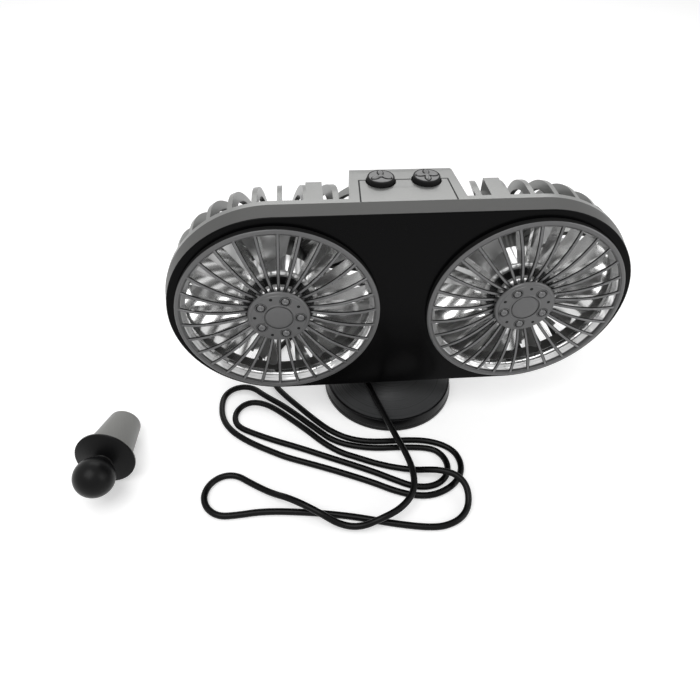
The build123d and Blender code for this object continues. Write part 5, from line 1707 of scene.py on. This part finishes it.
@dataclass
class Button:
    """Round push button with a raised propeller sign."""

    side: Side
    sign_blades: int
    depth: float = 25.6
    radius: float = 6.0
    proud: float = 2.2
    flange_r: float = 7.3
    stem_r: float = 2.0
    foot_z: float = 115.7
    blade_length: float = 4.0
    blade_width: float = 2.1
    blade_circle: float = 2.7
    sign_height: float = 0.35
    sign_border: float = 0.5
    sign_steps: int = 180

    @property
    def middle(self) -> tuple[float, float]:
        """Place of the button's axis, sideways and backwards, in mm."""
        return self.side.value * BUTTON_X, FRONT_Y + self.depth

    def sign_outline(self, grow: float) -> list[Vector]:
        """Outline of the propeller sign, as far as its blades and its middle reach.

        Args:
            grow: How far the outline lies outside the sign, in mm.

        Returns:
            Points round the sign, in mm.
        """
        x, y = self.middle
        half_length, half_width = self.blade_length / 2 + grow, self.blade_width / 2 + grow
        points = []
        for step in range(self.sign_steps):
            angle = 2 * pi * step / self.sign_steps
            reach = half_width
            for blade in range(self.sign_blades):
                off = angle - pi / 2 - 2 * pi * blade / self.sign_blades
                ahead, aside = cos(off), sin(off)
                # A ray from the button's middle leaves the blade's ellipse where this quadratic is zero.
                square = (ahead / half_length) ** 2 + (aside / half_width) ** 2
                linear = -2 * self.blade_circle * ahead / half_length**2
                constant = (self.blade_circle / half_length) ** 2 - 1
                inside = linear**2 - 4 * square * constant
                if inside > 0 and ahead > 0:
                    reach = max(reach, (-linear + sqrt(inside)) / (2 * square))
            points.append(Vector((x + reach * cos(angle), y + reach * sin(angle))))
        return points

    def build(self, shop: Workshop) -> None:
        """Make the button's pieces and hand them over.

        Args:
            shop: The workshop.
        """
        label, body = self.side.label, Body.button(self.side)
        node = f"button_{label}"
        top = BOX_TOP_Z + self.proud
        flange_top = BOX_TOP_Z - 2.4
        profile = (
            (0.0, top - 0.25, 0.0),
            (self.radius - 0.62, top - 0.25, 0.1),
            (self.radius - 0.52, top - 0.04, 0.1),
            (self.radius - 0.25, top - 0.1, 0.15),
            (self.radius, top - 0.6, 0.3),
            (self.radius, flange_top, 0.0),
            (self.flange_r, flange_top, 0.2),
            (self.flange_r, flange_top - 1.4, 0.2),
            (self.stem_r, flange_top - 1.4, 0.2),
            (self.stem_r, self.foot_z, 0.3),
            (0.0, self.foot_z, 0.0),
        )
        axis = (*self.middle, 0.0), UPWARDS
        cap = lathe(f"button_cap_{label}", profile, *axis, segments=64)
        shop.deliver(cap, body, Look.GAP, [node])
        disc = (
            (0.0, top + 0.02, 0.0),
            (self.radius - 1.1, top, 0.3),
            (self.radius - 0.72, top - 0.12, 0.1),
            (self.radius - 0.7, top - 0.4, 0.0),
            (0.0, top - 0.4, 0.0),
        )
        face = lathe(f"button_face_{label}", disc, *axis, segments=64)
        shop.deliver(face, body, Look.BUTTON, [node])
        # A near-black plate a little larger than the sign lies under it: painted shade round the sign.
        rim = self.sign_outline(self.sign_border)
        sign_shade = plate(f"button_sign_edge_{label}", rim, top - 0.3, top + 0.05, 0.02)
        shop.deliver(sign_shade, body, Look.GAP, [node])
        blades = self.sign_outline(0.0)
        sign = plate(f"button_sign_{label}", blades, top - 0.2, top + self.sign_height, 0.12)
        shop.deliver(sign, body, Look.BUTTON, [node])


@dataclass
class HeadShell:
    """Mouldings of the head: front frame, ribbed rear shell, deck and what closes them."""

    frame_edge: float = 0.35
    rib_edge: float = 0.3
    deck_edge: float = 0.2
    cap_edge: float = 0.2
    deck_half_front: float = 20.3
    deck_half_back: float = 19.5
    deck_front: float = 8.3
    deck_back: float = 26.35
    button_gap_r: float = 6.4
    seam_half: float = 0.33
    seam_overlap: float = 0.1
    seam_depth: float = 0.4
    seam_rise: float = 0.015

    def seam(self) -> Object:
        """Dark strip of painted shade in the gap round the deck, broken where the buttons stand.

        Returns:
            The line.
        """
        front, back = FRONT_Y + self.deck_front, FRONT_Y + self.deck_back
        spots = (-BUTTON_X - self.button_gap_r, -BUTTON_X + self.button_gap_r)
        stops = sorted([-self.deck_half_back, *spots, *(-x for x in spots), self.deck_half_back])
        runs = [
            (Vector((-self.deck_half_front, front)), Vector((-self.deck_half_back, back))),
            (Vector((self.deck_half_front, front)), Vector((self.deck_half_back, back))),
        ]
        runs += [(Vector((a, back)), Vector((b, back))) for a, b in zip(stops[::2], stops[1::2])]
        shape = bmesh.new()
        for start, end in runs:
            way = (end - start).normalized()
            aside = Vector((-way.y, way.x)) * self.seam_half
            first, last = start - way * self.seam_overlap, end + way * self.seam_overlap
            corners = (first + aside, last + aside, last - aside, first - aside)
            low, high = (
                [shape.verts.new(Vector((*corner, height)) * MM) for corner in corners]
                for height in (BOX_TOP_Z - self.seam_depth, BOX_TOP_Z + self.seam_rise)
            )
            shape.faces.new(low)
            shape.faces.new(high)
            for k in range(4):
                shape.faces.new((low[k], low[(k + 1) % 4], high[(k + 1) % 4], high[k]))
        return object_from(shape, "deck_seam_shadow")

    def build(self, shop: Workshop) -> None:
        """Make the mouldings' pieces and hand them over.

        Args:
            shop: The workshop.
        """
        front = shop.refined("front_frame", self.frame_edge)
        shop.deliver(front, Body.HEAD, Look.FRONT, ["front_frame"])
        rear = shop.refined("rear_shell", self.rib_edge)
        shop.deliver(rear, Body.HEAD, Look.SILVER, ["rear_shell"])
        deck = shop.refined("button_deck", self.deck_edge)
        shop.deliver(deck, Body.HEAD, Look.SILVER, ["button_deck"])
        shop.deliver(self.seam(), Body.HEAD, Look.GAP)
        for side in Side:
            back = shop.refined(f"rear_cap_{side.label}", self.cap_edge)
            shop.deliver(back, Body.HEAD, Look.SILVER, [f"rear_cap_{side.label}"])
        shop.dress(Look.BOARD, "switch_board")
        shop.dress(Look.DARK, "switch_bodies", "switch_plunger_left", "switch_plunger_right")
        shop.dress(Look.STEEL, "shell_screws", "board_screws", "socket_screws")


@dataclass
class Motors:
    """The two small motors in their cups."""

    def build(self, shop: Workshop) -> None:
        """Dress the motors' nodes.

        Args:
            shop: The workshop.
        """
        for side in Side:
            label = side.label
            shop.dress(Look.STEEL, f"motor_can_{label}", f"motor_shaft_{label}")
            shop.dress(Look.MOTOR_END, f"motor_cap_{label}")
            shop.dress(Look.FERRITE, f"motor_magnets_{label}")
            shop.dress(Look.BRONZE, f"motor_bushes_{label}")
            shop.dress(Look.WINDING, f"motor_rotor_{label}")
            shop.dress(Look.CORD, f"motor_lead_{label}")
        shop.dress(Look.CORD, "inner_cable")


# Ball joint, base and loose stud


def circle_through(first: Vector, second: Vector, third: Vector) -> tuple[Vector, float]:
    """Circle through three points of a plane.

    Args:
        first: One point.
        second: Another point.
        third: The last point.

    Returns:
        The circle's centre and its radius.
    """
    near, far = second - first, third - first
    across = far.y * near.length_squared - near.y * far.length_squared
    along = near.x * far.length_squared - far.x * near.length_squared
    centre = first + Vector((across, along)) / (2 * near.cross(far))
    return centre, (first - centre).length


def ball_profile(radius: float, centre: float, start: float, end: float, steps: int = 22) -> list[Corner]:
    """Profile of part of a ball.

    Args:
        radius: The ball's radius, in mm.
        centre: Place of its centre along the axis.
        start: Angle from the axis's far end where the part starts, in degrees.
        end: Angle where it ends, in degrees.
        steps: Number of steps.

    Returns:
        Corners as (radius, distance, rounding).
    """
    points = []
    for step in range(steps + 1):
        angle = radians(start + (end - start) * step / steps)
        points.append((abs(radius * sin(angle)), centre - radius * cos(angle), 0.0))
    return points


@dataclass
class BallJoint:
    """Post with its ball, liner, socket and clamping ring."""

    neck_r: float = 5.0
    shank_r: float = 7.0
    shoulder_r: float = 8.0
    shoulder_z: float = 17.03
    shoulder_thick: float = 0.9
    foot_rise: float = 2.2
    shank_z: float = 6.5
    bore_r: float = 1.5
    bore_depth: float = 6.4
    clamp_edge: float = 0.4

    def post(self) -> Object:
        """Turned post with its ball on top.

        Returns:
            The post.
        """
        join = degrees(asin(self.neck_r / BALL_R))
        top = self.shoulder_z + self.shoulder_thick
        stem = [
            (0.0, self.shank_z + self.bore_depth, 0.0),
            (self.bore_r, self.shank_z + self.bore_depth, 0.0),
            (self.bore_r, self.shank_z, 0.0),
            (self.shank_r, self.shank_z, 0.3),
            (self.shank_r, self.shoulder_z, 0.0),
            (self.shoulder_r, self.shoulder_z, 0.15),
            (self.shoulder_r, top, 0.3),
            (self.neck_r + 0.6, top + self.foot_rise * 0.6, 1.2),
            (self.neck_r, top + self.foot_rise + 1.0, 1.0),
        ]
        ball = ball_profile(BALL_R, BALL_Z, join, 180.0)
        ball[-1] = (0.0, BALL_Z + BALL_R, 0.0)
        return lathe("ball_post_turned", stem + ball, *UPRIGHT, segments=72)

    def build(self, shop: Workshop) -> None:
        """Make the joint's pieces and hand them over.

        Args:
            shop: The workshop.
        """
        shop.deliver(self.post(), Body.POST, Look.BALL, ["ball_post"])
        for node in ("ball_socket", "socket_ring"):
            made = shop.refined(node, self.clamp_edge)
            shop.deliver(made, Body.HEAD, Look.DARK, [node])
        shop.dress(Look.LINER, "ball_liner")
        shop.dress(Look.STEEL, "post_washer", "post_screw", "ring_screws")


@dataclass
class Base:
    """Round base: a trumpet-shaped top on a black rim, closed below by a plate and a pad."""

    outer_r: float = 35.8
    rim_r: float = 34.6
    rim_z: float = 7.7
    foot_z: float = 0.6
    groove_r: float = 33.8
    groove: float = 0.5
    middle_r: float = 22.0
    middle_z: float = 10.9
    top_r: float = 12.0
    top_z: float = 17.0
    wall: float = 2.2
    bore_r: float = 7.06
    boss_r: float = 10.0
    boss_z: float = 6.5
    plate_top_z: float = 2.8
    plate_edge: float = 0.2
    pad_edge: float = 0.25

    def trumpet(self, drop: float = 0.0, steps: int = 18) -> list[Corner]:
        """Curve of the base's top, from its neck to its rim.

        Args:
            drop: How far the curve lies below the outer one, in mm.
            steps: Number of steps.

        Returns:
            Corners as (radius, height, rounding).
        """
        neck = Vector((self.top_r, self.top_z))
        half_way = Vector((self.middle_r, self.middle_z))
        foot = Vector((self.groove_r, self.rim_z + self.groove))
        centre, radius = circle_through(neck, half_way, foot)
        start, end = (atan2(spot.y - centre.y, spot.x - centre.x) for spot in (neck, foot))
        points = []
        for step in range(steps + 1):
            angle = start + (end - start) * step / steps
            points.append((centre.x + radius * cos(angle), centre.y + radius * sin(angle) - drop, 0.0))
        return points

    def shell(self) -> Object:
        """Turned shell of the base, open below.

        Returns:
            The shell.
        """
        inner_r = self.rim_r - self.wall
        profile = [(self.bore_r, self.top_z, 0.0), (self.top_r - 0.7, self.top_z, 0.3)]
        profile += self.trumpet()[1:]
        profile += [
            (self.groove_r, self.rim_z, 0.05),
            (self.rim_r, self.rim_z, 0.3),
            (self.outer_r - 0.45, self.rim_z - 4.6, 0.2),
            (self.outer_r - 0.62, self.rim_z - 4.85, 0.05),
            (self.outer_r - 0.25, self.rim_z - 5.1, 0.1),
            (self.outer_r, self.foot_z, 0.4),
            (inner_r + self.wall / 2, self.foot_z, 0.2),
            (inner_r + self.wall / 2, self.plate_top_z, 0.0),
            (inner_r, self.plate_top_z, 0.0),
            (inner_r, self.rim_z - self.wall / 2, 0.3),
        ]
        profile += [p for p in reversed(self.trumpet(self.wall)) if p[0] < inner_r - 0.5]
        profile += [
            (self.boss_r, self.top_z - self.wall, 0.2),
            (self.boss_r, self.boss_z, 0.2),
            (self.bore_r, self.boss_z, 0.2),
        ]
        return lathe("base_shell_turned", profile, *UPRIGHT, segments=144, closed=True)

    def build(self, shop: Workshop) -> None:
        """Make the base's pieces and hand them over.

        Args:
            shop: The workshop.
        """
        shop.deliver(self.shell(), Body.BASE, Look.BASE, ["base_shell"])
        bottom = shop.refined("base_plate", self.plate_edge)
        shop.deliver(bottom, Body.BASE, Look.DARK, ["base_plate"])
        pad = shop.refined("base_pad", self.pad_edge)
        shop.deliver(pad, Body.BASE, Look.PAD, ["base_pad"])
        shop.dress(Look.STEEL, "base_screws")


@dataclass
class SpareStud:
    """Loose stud: a ball on a flanged and tapered tube, resting on its flange and far edge."""

    x: float = -145.1
    y: float = -65.5
    turn: float = 6.2
    neck_r: float = 4.6
    flare_start: float = 9.6
    flange_at: float = 12.6
    flange_thick: float = 1.6
    flange_r: float = 14.3
    shoulder_r: float = 12.4
    tube_at: float = 15.4
    tube_r: float = 11.25
    end_at: float = 40.3
    end_r: float = 8.1
    bore_r: float = 5.8
    bore_depth: float = 18.0

    def axis(self) -> Axis:
        """Ball's centre and the direction from it along the tube.

        Returns:
            The start in mm, and the unit direction.
        """
        flange_end = self.flange_at + self.flange_thick
        dip = atan2(self.flange_r - self.end_r, self.end_at - flange_end)
        height = flange_end * sin(dip) + self.flange_r * cos(dip)
        heading = radians(self.turn)
        way = (sin(heading) * cos(dip), cos(heading) * cos(dip), -sin(dip))
        return (self.x, self.y, height), way

    def build(self, shop: Workshop) -> None:
        """Make the stud and hand it over.

        Args:
            shop: The workshop.
        """
        join = degrees(asin(self.neck_r / BALL_R))
        ball = ball_profile(BALL_R, 0.0, 0.0, 180.0 - join)
        flange_end = self.flange_at + self.flange_thick
        profile = ball + [
            (self.neck_r, self.flare_start, 0.6),
            (self.flange_r - 0.6, self.flange_at, 0.5),
            (self.flange_r, self.flange_at + 0.3, 0.2),
            (self.flange_r, flange_end - 0.5, 0.1),
            (self.shoulder_r, flange_end - 0.2, 0.2),
            (0.0, flange_end - 0.2, 0.0),
        ]
        tube = (
            (0.0, flange_end - 0.4, 0.0),
            (self.flange_r - 0.02, flange_end - 0.55, 0.0),
            (self.flange_r - 0.02, flange_end, 0.3),
            (self.shoulder_r, flange_end, 0.2),
            (self.tube_r, self.tube_at, 0.6),
            (self.end_r, self.end_at, 0.4),
            (self.bore_r, self.end_at, 0.3),
            (self.bore_r, self.end_at - self.bore_depth, 0.3),
            (0.0, self.end_at - self.bore_depth, 0.0),
        )
        start, way = self.axis()
        made = lathe("spare_stud_ball_turned", profile, start, way, segments=96)
        shop.deliver(made, Body.SPARE_STUD, Look.STUD, ["spare_ball_stud"])
        # The tube gets a lighter colour than the ball and flange of the same moulding: painted light.
        sleeve = lathe("spare_stud_tube_turned", tube, start, way, segments=96)
        shop.deliver(sleeve, Body.SPARE_STUD, Look.TUBE, ["spare_ball_stud"])


# Lead and plug

CORD_R = 1.6

# Points that the lead's middle line is drawn through, from the gland to the plug, in mm.
# A point without a height lies on the floor.
CORD_POINTS = (
    (-14.6, -10.8, 21.6), (-14.6, -10.8, 18.8), (-14.0, -13.3, 15.9), (-12.2, -18.2, 15.0),
    (-9.3, -26.5, 13.6), (-5.8, -36.5, 12.2), (-4.1, -41.5, 11.6), (-2.4, -46.5, 11.0),
    (1.3, -57.0, 10.4), (3.6, -67.5, 9.6), (2.6, -78.0, 8.6), (-4.5, -86.0, 8.0), (-14.5, -90.8, 8.0),
    (-24.5, -92.0, 3.4), (-34.0, -89.8, 3.4), (-43.0, -85.5, 8.0), (-55.5, -77.5, 8.0),
    (-65.0, -70.5, 2.4), (-75.0, -63.8), (-82.5, -58.3), (-89.8, -58.3), (-95.6, -62.6), (-97.9, -69.4),
    (-95.6, -76.2), (-89.8, -80.5), (-82.3, -80.6), (-68.7, -79.3), (-48.1, -81.3), (-27.2, -85.0),
    (-7.2, -90.6), (10.4, -93.8), (19.4, -92.0), (25.4, -88.0, 1.7), (28.6, -82.4, 3.0),
    (28.6, -75.6, 6.4), (24.9, -70.5, 8.4), (18.2, -67.2, 8.2), (12.5, -65.2, 6.6), (5.5, -62.6, 3.0),
    (-4.8, -59.2), (-13.5, -56.1), (-22.8, -51.8), (-30.5, -48.3), (-39.0, -41.6), (-47.1, -32.8),
    (-55.4, -24.7), (-63.2, -17.4), (-69.3, -13.0), (-76.0, -11.0), (-81.5, -12.9), (-85.0, -17.5),
    (-85.5, -23.3), (-82.9, -28.4), (-75.0, -33.0), (-65.0, -38.0), (-50.5, -44.2), (-35.5, -51.4),
    (-25.7, -55.9), (-14.1, -61.5), (-5.7, -66.2), (3.0, -70.8), (10.2, -71.9), (16.5, -70.4),
    (21.4, -66.0), (23.2, -59.7), (21.4, -53.3), (16.5, -48.9), (3.5, -47.3), (-16.4, -46.9),
    (-33.0, -41.5), (-42.8, -31.7), (-58.1, -16.0), (-70.3, -6.4), (-75.9, -0.8), (-82.0, 0.9),
    (-88.2, -0.8), (-92.2, -5.5), (-93.2, -12.8), (-92.0, -21.6), (-87.8, -29.4), (-80.6, -36.0),
    (-72.5, -41.4), (-65.5, -45.3), (-58.3, -49.3), (-47.2, -53.7), (-35.9, -58.3), (-25.3, -63.0),
    (-14.9, -67.8), (-6.6, -72.4), (2.3, -75.8), (10.4, -76.8), (17.9, -74.9), (24.6, -70.7),
    (29.0, -64.6), (30.0, -57.6), (27.7, -51.1), (22.0, -46.6), (14.2, -43.8), (4.2, -42.8),
    (-5.3, -43.0), (-16.3, -42.4), (-25.5, -39.9), (-34.5, -34.4), (-42.2, -26.6), (-50.0, -17.5),
    (-58.1, -8.0), (-64.2, 0.5), (-67.6, 11.0), (-66.2, 24.0), (-59.0, 36.0), (-49.0, 45.5, 2.6),
    (-39.5, 50.0, 4.2), (-31.0, 50.0, 4.2),
)  # fmt: skip
CORD_ROUTE = tuple((*point, CORD_R)[:3] for point in CORD_POINTS)


@dataclass
class Lead:
    """Lead with its gland under the head and the plug on its far end."""

    radius: float = CORD_R
    length: float = 1.1
    gland_z: float = 23.0
    plug_x: float = -31.0
    plug_y: float = 50.0
    plug_height: float = 8.4
    plug_steps: int = 48
    ribs: int = 6
    rib_start: float = 15.0
    rib_pitch: float = 2.6
    rib_half: float = 5.4
    shell_edge: float = 0.12

    def cord(self) -> Object:
        """The lead as one smooth curve.

        Returns:
            The curve's object.
        """
        curve = bpy.data.curves.new("power_lead", "CURVE")
        curve.dimensions = "3D"
        curve.bevel_depth = self.radius * MM
        curve.bevel_resolution = 5
        curve.resolution_u = 10
        curve.use_fill_caps = True
        spline = curve.splines.new("NURBS")
        spline.points.add(len(CORD_ROUTE) - 1)
        for point, spot in zip(spline.points, CORD_ROUTE):
            point.co = (*(v * MM for v in spot), 1.0)
        spline.order_u = 3
        spline.use_endpoint_u = True
        made = bpy.data.objects.new("power_lead", curve)
        bpy.context.scene.collection.objects.link(made)
        return made

    def gland(self) -> Object:
        """Rubber gland in the head's underside, ribbed where the lead leaves it.

        Returns:
            The gland.
        """
        x, y, _ = CORD_ROUTE[0]
        profile = (
            (0.0, 2.7, 0.0),
            (3.1, 2.7, 0.2),
            (3.1, 1.8, 0.1),
            (2.5, 1.8, 0.0),
            (2.5, 0.0, 0.0),
            (3.4, 0.0, 0.15),
            (3.35, -0.5, 0.1),
            (2.9, -0.62, 0.1),
            (2.85, -0.85, 0.1),
            (2.6, -0.95, 0.1),
            (2.2, -1.4, 0.15),
            (0.0, -1.4, 0.0),
        )
        return lathe("cord_gland_ribbed", profile, (x, y, self.gland_z), UPWARDS, segments=40)

    def plug_body(self) -> Object:
        """Plug's moulded grip, rounded, with a tapered relief on the lead's side.

        Returns:
            The grip.
        """
        # Distance along the plug, half its width, half its height and how square it is (2 is round).
        stations = (
            (0.0, 2.2, 2.2, 2.0),
            (2.0, 2.45, 2.45, 2.0),
            (5.0, 2.85, 2.85, 2.0),
            (8.2, 3.15, 3.15, 2.0),
            (8.9, 3.6, 3.4, 2.2),
            (9.3, 6.2, 3.7, 3.4),
            (9.8, 7.2, 4.0, 4.5),
            (11.5, 7.9, 4.2, 5.0),
            (24.0, 8.0, 4.2, 5.0),
            (33.0, 8.0, 4.2, 5.0),
            (36.2, 7.8, 4.05, 5.0),
            (37.0, 7.2, 3.7, 5.0),
        )
        rings = []
        for along, half_width, half_height, power in stations:
            ring = []
            for k in range(self.plug_steps):
                angle = 2 * pi * k / self.plug_steps
                across, up = (copysign(abs(v) ** (2 / power), v) for v in (cos(angle), sin(angle)))
                y = self.plug_y + half_width * across
                z = self.plug_height / 2 + half_height * up
                ring.append(Vector((self.plug_x + along, y, z)))
            rings.append(ring)
        made = swept("usb_plug_grip", rings)
        shaded(made, 50.0)
        return made

    def grip_rib(self, name: str) -> Object:
        """One low rib across the plug's top.

        Args:
            name: Name of the piece.

        Returns:
            The rib.
        """
        start, top = self.plug_x + self.rib_start, self.plug_height
        outline = ((-0.5, -0.5), (-0.42, -0.02), (-0.2, 0.12), (0.2, 0.12), (0.42, -0.02), (0.5, -0.5))
        sections = []
        for share, drop in ((-1.0, 0.25), (-0.96, 0.0), (0.96, 0.0), (1.0, 0.25)):
            y = self.plug_y + share * self.rib_half
            sections.append([Vector((start + along, y, top + rise - drop)) for along, rise in outline])
        return swept(name, sections)

    def build(self, shop: Workshop) -> None:
        """Make the lead and its pieces and hand them over.

        Args:
            shop: The workshop.
        """
        gland = shop.deliver(self.gland(), Body.HEAD, Look.PLUG, ["cord_gland"])
        grip = shop.deliver(self.plug_body(), Body.BASE, Look.PLUG, ["usb_plug_body"])
        ribs = self.grip_rib("usb_plug_ribs")
        pitch = (self.rib_pitch * MM, 0.0, 0.0)
        shop.repeat(ribs, shop.row, Look.PLUG, {"Count": self.ribs, "Pitch": pitch})
        shaded(ribs, 50.0)
        shop.deliver(ribs, Body.BASE, Look.PLUG, ["usb_plug_body"])
        metal = shop.refined("usb_plug_shell", self.shell_edge)
        shop.deliver(metal, Body.BASE, Look.STEEL, ["usb_plug_shell"])
        cord = shop.deliver(self.cord(), Body.BASE, Look.CORD, ["cord_lead", "power_cord"])


# Studio


@dataclass(frozen=True)
class Softbox:
    """Soft area light. Its place, the point that it faces and its size are in metres."""

    name: str
    place: tuple[float, float, float]
    aim: tuple[float, float, float]
    size: tuple[float, float]
    power: float

    def light(self) -> None:
        """Add the light to the scene."""
        data = bpy.data.lights.new(self.name, "AREA")
        data.shape = "RECTANGLE"
        data.size, data.size_y = self.size
        data.energy = self.power
        made = bpy.data.objects.new(self.name, data)
        made.location = self.place
        made.rotation_euler = (Vector(self.aim) - Vector(self.place)).to_track_quat("-Z", "Y").to_euler()
        bpy.context.scene.collection.objects.link(made)


@dataclass
class Studio:
    """Camera, floor, soft lights and a white surround.

    The camera's place is in mm, and its three directions, lens and sensor give the photograph's view.
    """

    place: tuple[float, float, float] = (-44.62, -226.05, 246.93)
    rightward: tuple[float, float, float] = (0.99637, -0.08337, 0.01712)
    upward: tuple[float, float, float] = (0.04567, 0.69341, 0.71910)
    onward: tuple[float, float, float] = (0.0718, 0.7157, -0.6947)
    lens: float = 29.95
    sensor: float = 36.0
    floor_half: float = 3.0
    floor_grey: float = 0.82
    floor_glow: float = 0.4
    surround_light: float = 0.45
    softboxes: tuple[Softbox, ...] = (
        Softbox("key_above", (-0.25, -0.30, 0.85), (0.0, 0.0, 0.05), (0.6, 0.6), 3.6),
        Softbox("strip_behind", (0.05, 0.75, 0.75), (0.0, 0.0, 0.08), (1.1, 0.35), 3.0),
        Softbox("side_fill", (0.75, -0.35, 0.45), (0.0, 0.0, 0.06), (0.35, 0.6), 1.4),
    )

    def camera(self) -> None:
        """Set up the camera at the photograph's viewing angle."""
        data = bpy.data.cameras.new("camera")
        data.lens = self.lens
        data.sensor_width = self.sensor
        data.sensor_fit = "HORIZONTAL"
        data.clip_start = 0.01
        made = bpy.data.objects.new("camera", data)
        columns = Matrix((self.rightward, self.upward, tuple(-v for v in self.onward))).transposed()
        made.matrix_world = Matrix.Translation(Vector(self.place) * MM) @ columns.to_4x4()
        bpy.context.scene.collection.objects.link(made)
        bpy.context.scene.camera = made

    def white_rays(self, bench: Bench) -> NodeSocket:
        """Mask of the rays that see the surround itself: camera, glossy and transmission.

        Args:
            bench: Bench of the tree that needs the mask.

        Returns:
            The mask.
        """
        rays = bench.node("ShaderNodeLightPath")
        seen = bench.math("ADD", rays.outputs["Is Camera Ray"], rays.outputs["Is Glossy Ray"])
        return bench.math("ADD", seen, rays.outputs["Is Transmission Ray"], clamp=True)

    def surround(self) -> None:
        """White world whose light on the object is moderate."""
        world = bpy.data.worlds.new("surround")
        bpy.context.scene.world = world
        world.use_nodes = True
        world.node_tree.nodes.clear()
        bench = Bench(world.node_tree)
        back = bench.node("ShaderNodeBackground")
        back.inputs["Color"].default_value = (1.0, 1.0, 1.0, 1.0)
        strength = bench.span(self.white_rays(bench), 0.0, 1.0, self.surround_light, 1.0)
        bench.feed(strength, back.inputs["Strength"])
        end = bench.node("ShaderNodeOutputWorld")
        bench.feed(back.outputs[0], end.inputs["Surface"])

    def floor(self) -> None:
        """Plain pale floor that keeps the object's shadow."""
        shape = bmesh.new()
        bmesh.ops.create_grid(shape, x_segments=1, y_segments=1, size=self.floor_half)
        made = object_from(shape, "studio_floor")
        material = bpy.data.materials.new("studio_floor")
        material.use_nodes = True
        material.node_tree.nodes.clear()
        bench = Bench(material.node_tree)
        matt = bench.node("ShaderNodeBsdfDiffuse")
        matt.inputs["Color"].default_value = (self.floor_grey,) * 3 + (1.0,)
        glow = bench.node("ShaderNodeEmission")
        strength = bench.span(self.white_rays(bench), 0.0, 1.0, 0.0, self.floor_glow)
        bench.feed(strength, glow.inputs["Strength"])
        both = bench.node("ShaderNodeAddShader")
        bench.feed(matt.outputs[0], both.inputs[0])
        bench.feed(glow.outputs[0], both.inputs[1])
        end = bench.node("ShaderNodeOutputMaterial")
        bench.feed(both.outputs[0], end.inputs["Surface"])
        made.data.materials.append(material)

    def build(self) -> None:
        """Set up the whole studio."""
        self.camera()
        self.surround()
        self.floor()
        for softbox in self.softboxes:
            softbox.light()
        bpy.context.scene.view_settings.view_transform = "Standard"


def main() -> None:
    """Build every sub-assembly in order."""
    logging.basicConfig(level=logging.INFO, format="%(name)s: %(message)s")
    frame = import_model()
    shop = Workshop(frame)
    Studio().build()
    Lead().build(shop)
    makers: list[Maker] = [HeadShell(), Motors(), BallJoint(), Base(), SpareStud()]
    makers += [Grille(Side.LEFT, 20.0, 3.0), Grille(Side.RIGHT, -33.0, -3.0)]
    makers += [Impeller(Side.LEFT, -3.0), Impeller(Side.RIGHT, 13.0)]
    makers += [DuctRing(side) for side in Side]
    makers += [Button(Side.LEFT, 3), Button(Side.RIGHT, 4)]
    for maker in makers:
        maker.build(shop)
    bare = sorted(set(shop.nodes) - shop.dressed)
    LOG.info("%d pieces; nodes left bare: %s", shop.count, bare)


if __name__ == "__main__":
    main()
